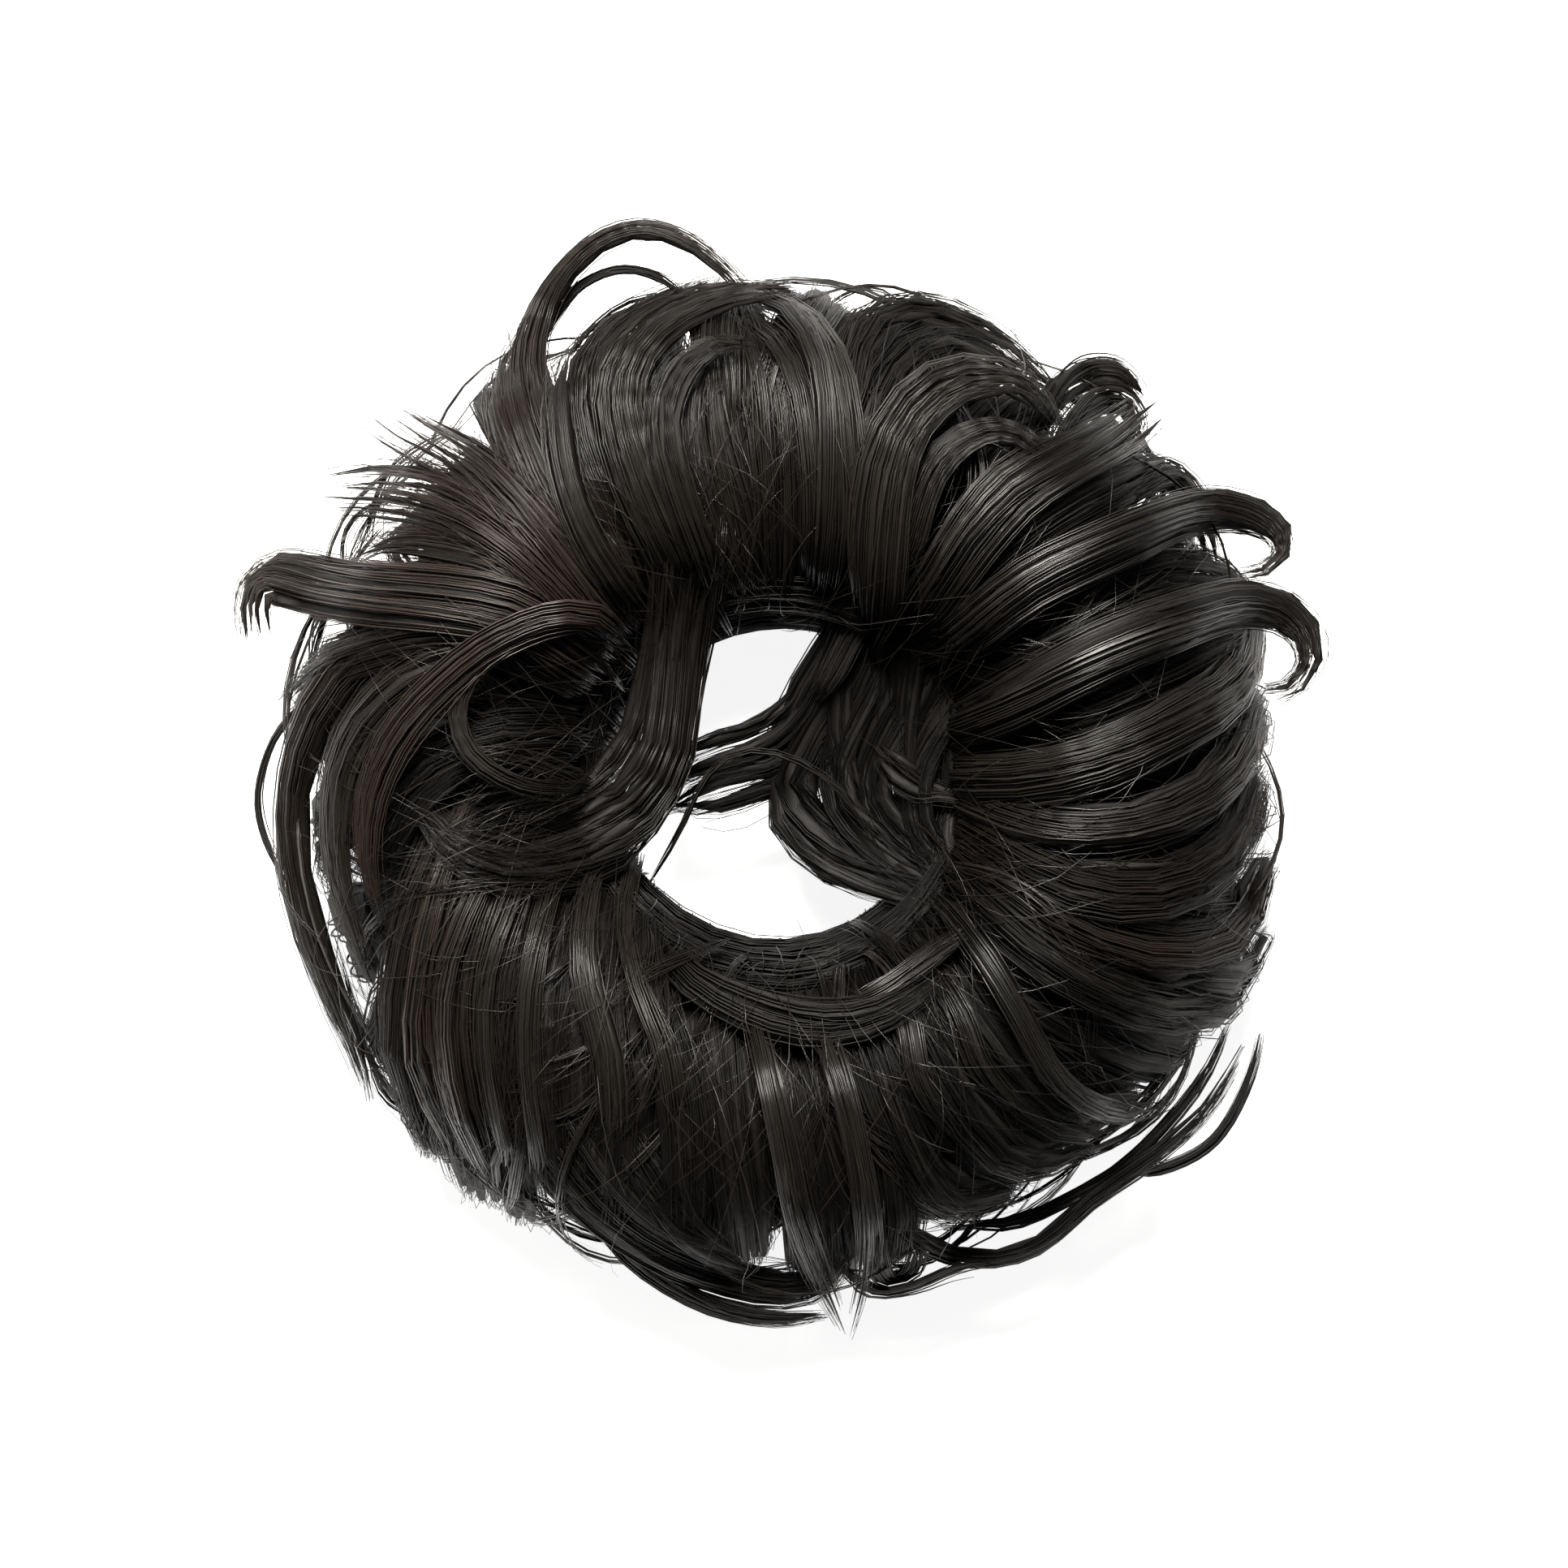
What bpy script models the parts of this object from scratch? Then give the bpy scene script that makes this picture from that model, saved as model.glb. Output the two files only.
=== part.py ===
"""Top knot hairpiece: curled dark hair sewn round an elastic ring, lying flat.

The hair is a doughnut about 0.2 m across. A round elastic band runs inside the hole at
mid height, hair is wound tightly round the band, and the loose locks start there. They
rise over the crown and turn under at the rim, and some of them spring out of the rim as
loops and tips. The hole's axis is +Z, the underside rests at z = 0, and the origin is
the middle of the bounding box's bottom.

Sizes below are millimetres and degrees. Azimuths run anticlockwise from +X, seen from
above, and section angles run from 0 at the rim over 90 at the crown to 180 in the hole.
"""

import math
import random
from typing import NamedTuple

import bmesh
import bpy
from mathutils import Vector

MM = 0.001

# The backing: a ring of hair with a flattened round section.
RING_RADIUS = 59.0
RING_HALF_HEIGHT = 26.0
RING_HALF_INSIDE = 25.0
RING_HALF_OUTSIDE = 23.0
RING_SECTION_SIDES = 12
RING_SEGMENTS = 42

# The elastic band and the hair wound round it, both at the middle of the hole's wall.
BAND_RADIUS = RING_RADIUS - RING_HALF_INSIDE
BAND_THICKNESS = 5.0
BAND_SIDES = 8
WRAP_THICKNESS = 2.2
WRAP_HALF_TURN = 135.0
GAP = 0.35

# A lock's section is flat: its broad face is this share of its width. It is sunk this far
# into the backing, and narrows over these shares of its length at the root and the tip.
LOCK_FLAT = 0.52
LOCK_SINK = 1.2
ROOT_TAPER = 0.3
TIP_TAPER = 0.35
ROOT_ANGLE = 152.0
TUCK_ANGLE = -38.0
LOCK_RINGS = 8
LOCK_ROOT_SHARE = 0.45
LOCK_TIP_SHARE = 0.35

# A straying lock narrows to these shares of its width. Where it bends this much or more
# it turns on edge over the first half of its length, short of upright by a little.
LOOP_RINGS_PER_STATION = 2.0
LOOP_ROOT_SHARE = 0.5
LOOP_TIP_SHARE = 0.22
FULL_BEND = 60.0
ON_EDGE_BY = 0.5
MOST_ON_EDGE = 0.85

# Where a straying lock leaves the ring, and how far out it takes to reach its end height.
LIP_RADIUS = 41.0
LEAVING_RADIUS = 78.0
LEAVING_RUN = 15.0

# The plain locks under the rim, between the ones that are seen.
UNDER_LOCKS = 12
UNDER_START = 6.0
UNDER_END = -48.0
UNDER_WIDTH = 19.0
UNDER_THICKNESS = 7.0
UNDER_REACH = (86.0, 91.0)
UNDER_END_SHARE = 0.4
UNDER_RINGS = 6
UNDER_STRAY = 4.0
UNDER_SWEEP = 9.0
UNDER_SEED = 11

# The fused hair is thinned to this many triangles, and edges past this angle stay sharp.
FUSED_TRIANGLES = 9200
SHARP_ANGLE = 35.0


class Lock(NamedTuple):
    """A lock that runs from the hole over the crown and turns under at the rim."""

    name: str
    root: float
    crown: float
    rim: float
    reach: float
    width: float
    lift: float = 0.0
    thick: float = 8.0


class Loop(NamedTuple):
    """A lock that strays from the ring. Its stations are (radius, azimuth) from above.

    Over the backing it stands this far off it, and past the rim it comes to its end height.
    """

    name: str
    width: float
    thick: float
    stand: float
    end_height: float
    stations: tuple


LOCKS = (
    Lock("right_high", root=358, crown=5, rim=12, reach=97.5, width=18, lift=2),
    Lock("right_upper", root=18, crown=14, rim=17, reach=93, width=14),
    Lock("right_swept", root=42, crown=31, rim=25, reach=93, width=15, lift=3),
    Lock("shoulder_right", root=56, crown=46, rim=38, reach=98, width=18),
    Lock("shoulder_inner", root=67, crown=60, rim=51, reach=93, width=15, lift=1),
    Lock("top_bright", root=72, crown=73, rim=62, reach=97, width=20, lift=4),
    Lock("top_straight", root=84, crown=85, rim=80, reach=95, width=16, lift=1),
    Lock("top_fan", root=94, crown=96, rim=96, reach=94, width=15, lift=3),
    Lock("top_left", root=112, crown=108, rim=103, reach=91, width=16),
    Lock("top_brown", root=128, crown=125, rim=120, reach=98, width=17, lift=1),
    Lock("left_top", root=137, crown=141, rim=150, reach=90, width=16),
    Lock("left_bright", root=136, crown=158, rim=186, reach=90, width=14, lift=4),
    Lock("left_edge", root=153, crown=164, rim=172, reach=95, width=16),
    Lock("left_low", root=174, crown=182, rim=194, reach=91, width=15),
    Lock("left_short", root=190, crown=196, rim=204, reach=84, width=14, thick=7),
    Lock("bulge_edge", root=203, crown=210, rim=221, reach=95, width=16, lift=2),
    Lock("bulge", root=214, crown=222, rim=231, reach=98.5, width=19),
    Lock("bulge_right", root=229, crown=232, rim=238, reach=96, width=14, lift=3),
    Lock("valley", root=241, crown=245, rim=249, reach=90, width=17),
    Lock("bottom_left", root=251, crown=256, rim=258, reach=94, width=15, lift=2),
    Lock("bottom", root=263, crown=265, rim=267, reach=91, width=15),
    Lock("bottom_right", root=278, crown=283, rim=290, reach=91, width=17, lift=1),
    Lock("low_right", root=290, crown=293, rim=302, reach=92.5, width=16),
    Lock("low_right_upper", root=302, crown=303, rim=311, reach=92, width=18, lift=2),
    Lock("right_low", root=311, crown=314, rim=321, reach=93, width=15),
    Lock("right_curved", root=319, crown=323, rim=331, reach=97, width=17, lift=2),
    Lock("right_wide", root=331, crown=332, rim=340, reach=101, width=18),
    Lock("right_notch", root=343, crown=343, rim=351, reach=93, width=15, lift=1),
    Lock("right_middle", root=350, crown=353, rim=2, reach=96, width=17),
)

LOOPS = (
    Loop("arch", 13, 5, 4, 37, ((76, 126), (92, 123.5), (99, 118), (105.5, 110), (107, 102), (98, 95))),
    Loop("top_arc", 12, 7, 5, 39, ((60, 113), (84, 111.5), (90.5, 105), (92, 93), (92, 81))),
    Loop("corner_arc", 12, 7, 5, 37, ((78, 85), (92, 80), (95.5, 72), (95, 63), (88, 55))),
    Loop("hump", 11, 5, 2, 33, ((78, 59), (95, 54.5), (101, 51.5), (100.5, 47), (92, 44))),
    Loop("pointed_tip", 13, 6, 5, 37, ((60, 53), (82, 48), (103, 44.5))),
    Loop("right_loop", 12, 4.5, 4, 35, ((62, 38), (88, 32.5), (100, 30), (103, 25.5), (97, 23), (88, 25))),
    Loop("lower_loop", 11, 4.5, 4, 33, ((62, 25), (88, 21.5), (98, 19), (101, 15), (99, 11.5), (90, 11))),
    Loop("hook", 13, 7, 5, 39, ((57, 146), (86, 154), (101, 156.5), (103, 160), (98, 167.5))),
    Loop("brush_low", 16, 7, 6, 41, ((56, 133), (78, 136), (98.5, 145.5))),
    Loop("brush_high", 12, 6, 5, 45, ((60, 131), (82, 134.5), (98, 137))),
    Loop("left_point", 10, 5, 2, 33, ((78, 161), (92, 166), (99, 173.5))),
    Loop("long_left", 13, 8, 1, 29, ((74, 160), (90, 171), (92.5, 186), (93.5, 200), (96, 213), (101, 221))),
    Loop("bottom_arc", 13, 9, 1, 31, ((76, 237), (90, 248), (96, 259), (99.5, 269), (96, 277))),
    Loop("drop_tip", 14, 7, 6, 33, ((58, 272), (82, 274), (106.5, 278))),
    Loop("small_curl", 9, 4.5, 5, 33, ((66, 284), (89, 280.5), (98, 282), (97, 286), (89, 287))),
    Loop("lower_arc", 11, 5, 1, 31, ((77, 284), (96, 291), (101, 299), (101, 312), (103.5, 321), (93, 333))),
    Loop("cross_lock", 9, 5, 0, 40, ((41, 112), (27, 128), (20, 175), (27, 212), (41, 232))),
    Loop("left_curl", 9, 6, 6, 40, ((38, 128), (48, 148), (56, 168), (54, 188), (44, 206), (36, 220))),
)


def remove_all_objects():
    """Empties the scene."""
    for thing in list(bpy.data.objects):
        bpy.data.objects.remove(thing, do_unlink=True)


def finish_material(name, colour, roughness):
    """Returns a Principled BSDF material with one colour."""
    material = bpy.data.materials.new(name)
    material.use_nodes = True
    shader = material.node_tree.nodes["Principled BSDF"]
    shader.inputs["Base Color"].default_value = (*colour, 1.0)
    shader.inputs["Roughness"].default_value = roughness
    shader.inputs["Metallic"].default_value = 0.0
    return material


def object_from_bmesh(name, mesh, material, collection):
    """Closes a bmesh into a new object with the material on it."""
    bmesh.ops.recalc_face_normals(mesh, faces=mesh.faces)
    data = bpy.data.meshes.new(name)
    mesh.to_mesh(data)
    mesh.free()
    data.materials.append(material)
    data.shade_smooth()
    data.set_sharp_from_angle(angle=math.radians(SHARP_ANGLE))
    thing = bpy.data.objects.new(name, data)
    collection.objects.link(thing)
    return thing


def turned_ring(outline, segments):
    """Spins a closed outline of (radius, height) round Z into a ring."""
    mesh = bmesh.new()
    points = [mesh.verts.new((radius * MM, 0.0, height * MM)) for radius, height in outline]
    edges = [mesh.edges.new((points[i - 1], points[i])) for i in range(len(points))]
    bmesh.ops.spin(
        mesh,
        geom=points + edges,
        cent=(0, 0, 0),
        axis=(0, 0, 1),
        angle=math.tau,
        steps=segments,
        use_merge=True,
    )
    return mesh


def ring_surface(angle, azimuth, stand_off, reach):
    """Returns a point over the backing and the outward normal there, in millimetres."""
    across = math.cos(math.radians(angle))
    up = math.sin(math.radians(angle))
    half_across = reach - RING_RADIUS if across > 0 else RING_HALF_INSIDE + stand_off
    half_up = RING_HALF_HEIGHT + stand_off
    radius = RING_RADIUS + half_across * across
    height = RING_HALF_HEIGHT + half_up * up
    bearing = math.radians(azimuth)
    outward = Vector((math.cos(bearing), math.sin(bearing), 0.0))
    normal = outward * (across / half_across) + Vector((0.0, 0.0, up / half_up))
    return outward * radius + Vector((0.0, 0.0, height)), normal.normalized()


def backing_height(radius):
    """Height of the backing's upper side at a radius, in millimetres."""
    half_across = RING_HALF_OUTSIDE if radius > RING_RADIUS else RING_HALF_INSIDE
    across = (radius - RING_RADIUS) / half_across
    return RING_HALF_HEIGHT * (1.0 + math.sqrt(1.0 - across * across))


def through_three(first, middle, last, share):
    """Quadratic curve through three values at 0, a half and 1."""
    rise = last - first
    bow = 4.0 * (middle - 0.5 * (first + last))
    return first + rise * share + bow * share * (1.0 - share)


def unwrapped(azimuth, reference):
    """Returns the azimuth within half a turn of the reference."""
    return reference + (azimuth - reference + 180.0) % 360.0 - 180.0


def swept(frames, ridged=False):
    """Skins a flat section along frames of (point, normal, half width, half thickness).

    The section is a hexagon, or where it is ridged below, a pentagon for a lock whose
    under side lies sunk in the backing.
    """
    mesh = bmesh.new()
    rings = []
    for index, (point, normal, half_width, half_thick) in enumerate(frames):
        before = frames[max(index - 1, 0)][0]
        after = frames[min(index + 1, len(frames) - 1)][0]
        along = (after - before).normalized()
        side = along.cross(normal).normalized()
        top = side.cross(along)
        flat = half_width * LOCK_FLAT
        corners = [
            side * half_width,
            side * flat + top * half_thick,
            side * -flat + top * half_thick,
            side * -half_width,
        ]
        if ridged:
            corners.append(top * -half_thick)
        else:
            corners += [side * -flat - top * half_thick, side * flat - top * half_thick]
        rings.append([mesh.verts.new((point + corner) * MM) for corner in corners])
    for near, far in zip(rings, rings[1:]):
        for i in range(len(near)):
            j = (i + 1) % len(near)
            mesh.faces.new((near[i], near[j], far[j], far[i]))
    mesh.faces.new(rings[0])
    mesh.faces.new(list(reversed(rings[-1])))
    bmesh.ops.triangulate(mesh, faces=mesh.faces)
    return mesh


def taper(share, root_share, tip_share):
    """Width factor along a lock: narrow at the root, full in the middle, narrow at the tip."""
    rise = min(1.0, root_share + (1.0 - root_share) * share / ROOT_TAPER)
    fall = min(1.0, tip_share + (1.0 - tip_share) * (1.0 - share) / TIP_TAPER)
    return math.sin(min(rise, fall) * math.pi / 2)


def lock_frames(lock):
    """Frames of a lock over the backing, from the hole's wall to below the rim."""
    frames = []
    crown = unwrapped(lock.crown, lock.root)
    rim = unwrapped(lock.rim, crown)
    half_thick = lock.thick / 2
    for step in range(LOCK_RINGS):
        share = step / (LOCK_RINGS - 1)
        angle = ROOT_ANGLE + (TUCK_ANGLE - ROOT_ANGLE) * share
        azimuth = through_three(lock.root, crown, rim, share)
        lift = lock.lift * math.sin(math.pi * share)
        point, normal = ring_surface(angle, azimuth, half_thick - LOCK_SINK + lift, lock.reach - half_thick)
        width = taper(share, LOCK_ROOT_SHARE, LOCK_TIP_SHARE)
        frames.append((point, normal, lock.width / 2 * width, half_thick * (1.0 + width) / 2))
    return frames


def smooth_route(stations, heights, count):
    """Points on a Catmull-Rom curve through polar stations, evenly spaced by parameter."""
    points = []
    azimuth_before = stations[0][1]
    for (radius, azimuth), height in zip(stations, heights):
        azimuth = unwrapped(azimuth, azimuth_before)
        bearing = math.radians(azimuth)
        points.append(Vector((radius * math.cos(bearing), radius * math.sin(bearing), height)))
        azimuth_before = azimuth
    points = [points[0] * 2 - points[1], *points, points[-1] * 2 - points[-2]]
    curve = []
    spans = len(points) - 3
    for step in range(count):
        place = spans * step / (count - 1)
        span = min(int(place), spans - 1)
        t = place - span
        a, b, c, d = points[span : span + 4]
        curve.append(
            0.5 * (2 * b + (c - a) * t + (2 * a - 5 * b + 4 * c - d) * t**2 + (3 * b - 3 * c + d - a) * t**3)
        )
    return curve


def plan_heading(route, index):
    """Heading of a route at one of its points, in degrees, seen from above."""
    before = route[max(index - 1, 0)]
    after = route[min(index + 1, len(route) - 1)]
    return math.degrees(math.atan2(after.y - before.y, after.x - before.x))


def loop_frames(loop):
    """Frames of a loop, which turns from lying flat on the crown to standing on edge."""
    count = len(loop.stations)
    heights = []
    for radius, _ in loop.stations:
        off_ring = min(1.0, max(0.0, (radius - LEAVING_RADIUS) / LEAVING_RUN))
        over_ring = backing_height(min(max(radius, LIP_RADIUS), LEAVING_RADIUS)) + loop.stand
        heights.append(over_ring + (loop.end_height - over_ring) * off_ring)
    rings = round(LOOP_RINGS_PER_STATION * (count - 1)) + 1
    route = smooth_route(loop.stations, heights, rings)
    headings = [plan_heading(route, i) for i in range(rings)]
    middle = headings[rings // 2]
    turn = unwrapped(headings[-1], middle) - unwrapped(headings[0], middle)
    frames = []
    for index, point in enumerate(route):
        share = index / (rings - 1)
        on_edge = min(1.0, share / ON_EDGE_BY) * min(1.0, abs(turn) / FULL_BEND)
        bearing = math.radians(headings[index] - math.copysign(90.0, turn))
        outside = Vector((math.cos(bearing), math.sin(bearing), 0.0))
        normal = Vector((0.0, 0.0, 1.0 - MOST_ON_EDGE * on_edge)) + outside * on_edge
        width = taper(share, LOOP_ROOT_SHARE, LOOP_TIP_SHARE)
        frames.append((point, normal.normalized(), loop.width / 2 * width, loop.thick / 2 * width))
    return frames


def under_frames(index, rng):
    """Frames of a plain lock below the rim, which ends above the resting face."""
    azimuth = 360.0 * index / UNDER_LOCKS + rng.uniform(-UNDER_STRAY, UNDER_STRAY)
    reach = rng.uniform(*UNDER_REACH)
    sweep = rng.uniform(-UNDER_SWEEP, UNDER_SWEEP)
    frames = []
    for step in range(UNDER_RINGS):
        share = step / (UNDER_RINGS - 1)
        angle = UNDER_START + (UNDER_END - UNDER_START) * share
        point, normal = ring_surface(angle, azimuth + sweep * share, 0.0, reach - UNDER_THICKNESS / 2)
        width = taper(share, UNDER_END_SHARE, UNDER_END_SHARE)
        frames.append((point, normal, UNDER_WIDTH / 2 * width, UNDER_THICKNESS / 2 * width))
    return frames


def arc(radius, height, bend, first, last):
    """Points on an arc in the section, at the band's own angular step."""
    step = 360.0 / BAND_SIDES
    count = round(abs(last - first) / step)
    points = []
    for i in range(count + 1):
        angle = math.radians(first + (last - first) * i / count)
        points.append((radius + bend * math.cos(angle), height + bend * math.sin(angle)))
    return points


def backing_outline():
    """Section of the backing: a twelve-sided oval on a flat foot, grooved in the hole's wall."""
    step = 360.0 / RING_SECTION_SIDES
    stretch = 1.0 / math.cos(math.radians(step / 2))
    groove = BAND_THICKNESS / 2 + GAP + WRAP_THICKNESS + GAP
    outline = []
    for i in range(RING_SECTION_SIDES):
        angle = -90.0 + step * (i + 0.5)
        across = math.cos(math.radians(angle)) * stretch
        half_across = RING_HALF_OUTSIDE if across > 0 else RING_HALF_INSIDE
        height = RING_HALF_HEIGHT * (1 + math.sin(math.radians(angle)) * stretch)
        outline.append((RING_RADIUS + half_across * across, height))
        if math.isclose(angle, 180.0 - step / 2):
            outline += arc(BAND_RADIUS, RING_HALF_HEIGHT, groove, 90.0, -90.0)
    return outline


def wrap_outline():
    """Section of the wound hair: a thick C round the band, open towards the hole's middle."""
    inner = BAND_THICKNESS / 2 + GAP
    outer = inner + WRAP_THICKNESS
    outside = arc(BAND_RADIUS, RING_HALF_HEIGHT, outer, -WRAP_HALF_TURN, WRAP_HALF_TURN)
    inside = arc(BAND_RADIUS, RING_HALF_HEIGHT, inner, WRAP_HALF_TURN, -WRAP_HALF_TURN)
    return outside + inside


def band_outline():
    """Section of the elastic band, a round cord."""
    return arc(BAND_RADIUS, RING_HALF_HEIGHT, BAND_THICKNESS / 2, 0.0, 360.0)[:-1]


def fused_locks(material):
    """Makes every lock a hidden guide in one collection, for the union with the backing."""
    guides = bpy.data.collections.new("lock_guides")
    bpy.context.scene.collection.children.link(guides)
    rng = random.Random(UNDER_SEED)
    shapes = [(lock.name, swept(lock_frames(lock), ridged=True)) for lock in LOCKS]
    shapes += [(loop.name, swept(loop_frames(loop))) for loop in LOOPS]
    shapes += [(f"under_{i}", swept(under_frames(i, rng), ridged=True)) for i in range(UNDER_LOCKS)]
    for name, mesh in shapes:
        guide = object_from_bmesh(f"guide_{name}", mesh, material, guides)
        guide.hide_render = True
        guide.display_type = "WIRE"
    return guides


def keep_outer_skin(thing):
    """Applies the union and fills the pockets shut in between locks, so the hair is solid."""
    fused = bpy.data.meshes.new_from_object(
        thing.evaluated_get(bpy.context.evaluated_depsgraph_get())
    )
    thing.modifiers.clear()
    mesh = bmesh.new()
    mesh.from_mesh(fused)
    unseen = set(mesh.verts)
    skins = []
    while unseen:
        skin = {unseen.pop()}
        edge_of_skin = list(skin)
        while edge_of_skin:
            vert = edge_of_skin.pop()
            for edge in vert.link_edges:
                other = edge.other_vert(vert)
                if other not in skin:
                    skin.add(other)
                    edge_of_skin.append(other)
        unseen -= skin
        skins.append(skin)
    outer = max(skins, key=lambda skin: max(vert.co.length for vert in skin))
    pockets = [vert for skin in skins if skin is not outer for vert in skin]
    bmesh.ops.delete(mesh, geom=pockets, context="VERTS")
    bmesh.ops.triangulate(mesh, faces=mesh.faces)
    triangles = len(mesh.faces)
    mesh.to_mesh(fused)
    mesh.free()
    thing.data = fused
    if triangles > FUSED_TRIANGLES:
        thinning = thing.modifiers.new("thinning", "DECIMATE")
        thinning.ratio = FUSED_TRIANGLES / triangles


def main():
    """Builds the band, the wound hair and the ring of locks."""
    remove_all_objects()
    scene = bpy.context.scene.collection
    hair = finish_material("dark_hair", (0.012, 0.009, 0.008), 0.38)
    wound = finish_material("wound_hair", (0.010, 0.008, 0.007), 0.5)
    elastic = finish_material("black_elastic", (0.014, 0.014, 0.015), 0.75)

    object_from_bmesh("elastic_band", turned_ring(band_outline(), RING_SEGMENTS), elastic, scene)
    object_from_bmesh("wound_hair", turned_ring(wrap_outline(), RING_SEGMENTS), wound, scene)

    ring = object_from_bmesh("hair_ring", turned_ring(backing_outline(), RING_SEGMENTS), hair, scene)
    union = ring.modifiers.new("locks", "BOOLEAN")
    union.operation = "UNION"
    union.solver = "EXACT"
    union.operand_type = "COLLECTION"
    union.collection = fused_locks(hair)
    keep_outer_skin(ring)


main()
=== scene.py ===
"""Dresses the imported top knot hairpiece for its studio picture.

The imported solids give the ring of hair, the hair wound round the elastic and the elastic
band itself. Here each lock of the ring is split into wisps and each wisp is filled with
strands, the wound hair is laid round the band strand by strand, and the band gets its
braided cover. Sizes in the classes are millimetres and degrees; meshes are in metres.
"""

import logging
import math
import random
from collections.abc import Iterable, Sequence
from dataclasses import dataclass, replace
from enum import Enum
from typing import ClassVar, NamedTuple

import bmesh
import bpy
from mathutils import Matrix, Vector


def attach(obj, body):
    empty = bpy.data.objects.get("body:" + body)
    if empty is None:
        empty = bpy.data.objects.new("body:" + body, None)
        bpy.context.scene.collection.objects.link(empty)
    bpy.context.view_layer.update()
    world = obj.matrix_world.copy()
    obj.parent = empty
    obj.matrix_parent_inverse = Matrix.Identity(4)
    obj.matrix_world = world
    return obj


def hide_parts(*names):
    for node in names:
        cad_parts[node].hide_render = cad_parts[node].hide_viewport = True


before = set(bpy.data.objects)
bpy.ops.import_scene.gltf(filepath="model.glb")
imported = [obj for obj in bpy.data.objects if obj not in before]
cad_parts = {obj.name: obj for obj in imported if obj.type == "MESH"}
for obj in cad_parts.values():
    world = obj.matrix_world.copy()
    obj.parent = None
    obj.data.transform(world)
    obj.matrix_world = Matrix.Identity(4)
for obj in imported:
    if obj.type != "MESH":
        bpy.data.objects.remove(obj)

MM = 0.001
BODY = "root"
WHITE = (1.0, 1.0, 1.0, 1.0)

log = logging.getLogger("hairpiece")

Wire = bpy.types.NodeSocket | bpy.types.Material | float | int | bool | str | tuple | None


class Shade(Enum):
    """How far a lock's colour goes from near-black towards brown."""

    BLACK = 0.0
    WARM = 0.35
    BROWN = 1.0


class Node:
    """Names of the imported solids."""

    RING = "hair_ring"
    WOUND = "wound_hair"
    BAND = "elastic_band"


class Station(NamedTuple):
    """One cross-section of a lock: its middle, the way its broad face looks, its half sizes."""

    point: Vector
    normal: Vector
    half_width: float
    half_thick: float


class Section(NamedTuple):
    """A station with its two directions worked out from the lock's run."""

    point: Vector
    side: Vector
    top: Vector
    half_width: float
    half_thick: float


# Small helpers


def through_three(first: float, middle: float, last: float, share: float) -> float:
    """Runs a quadratic through three values.

    Args:
        first: Value at share 0.
        middle: Value at share a half.
        last: Value at share 1.
        share: Where to read the curve.

    Returns:
        The value at that share.
    """
    bow = 4.0 * (middle - 0.5 * (first + last))
    return first + (last - first) * share + bow * share * (1.0 - share)


def unwrapped(azimuth: float, reference: float) -> float:
    """Returns the azimuth within half a turn of the reference."""
    return reference + (azimuth - reference + 180.0) % 360.0 - 180.0


def bearing(azimuth: float) -> Vector:
    """Returns the level unit vector at an azimuth in degrees."""
    angle = math.radians(azimuth)
    return Vector((math.cos(angle), math.sin(angle), 0.0))


def catmull_rom(points: Sequence[Vector], count: int) -> list[Vector]:
    """Reads a smooth curve through points at even steps of its parameter.

    Args:
        points: The points that the curve passes through.
        count: How many points to return.

    Returns:
        The points on the curve, its ends among them.
    """
    padded = [points[0] * 2 - points[1], *points, points[-1] * 2 - points[-2]]
    spans = len(padded) - 3
    curve = []
    for step in range(count):
        place = spans * step / (count - 1)
        span = min(int(place), spans - 1)
        t = place - span
        a, b, c, d = padded[span : span + 4]
        square = (2 * a - 5 * b + 4 * c - d) * t**2
        cube = (3 * b - 3 * c + d - a) * t**3
        curve.append(0.5 * (2 * b + (c - a) * t + square + cube))
    return curve


def shares(count: int) -> list[float]:
    """Returns even shares from 0 to 1."""
    return [step / (count - 1) for step in range(count)]


def added(name: str, data: bpy.types.ID) -> bpy.types.Object:
    """Makes an object and adds it to the scene."""
    thing = bpy.data.objects.new(name, data)
    bpy.context.scene.collection.objects.link(thing)
    return thing


def sections_of(stations: Sequence[Station]) -> list[Section]:
    """Works out the side and top directions of each station from the way the lock runs.

    Args:
        stations: The lock's stations from root to tip.

    Returns:
        One section for each station.
    """
    sections = []
    for index, station in enumerate(stations):
        before = stations[max(index - 1, 0)].point
        after = stations[min(index + 1, len(stations) - 1)].point
        along = (after - before).normalized()
        side = along.cross(station.normal).normalized()
        sections.append(
            Section(station.point, side, side.cross(along), station.half_width, station.half_thick)
        )
    return sections


def section_at(sections: Sequence[Section], share: float) -> Section:
    """Reads a row of sections at a share of its length.

    Args:
        sections: The sections.
        share: Where to read, from 0 to 1.

    Returns:
        The section there.
    """
    place = share * (len(sections) - 1)
    index = min(int(place), len(sections) - 2)
    part = place - index
    pairs = zip(sections[index], sections[index + 1])
    return Section(*(near + (far - near) * part for near, far in pairs))


# The ring's form


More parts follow.
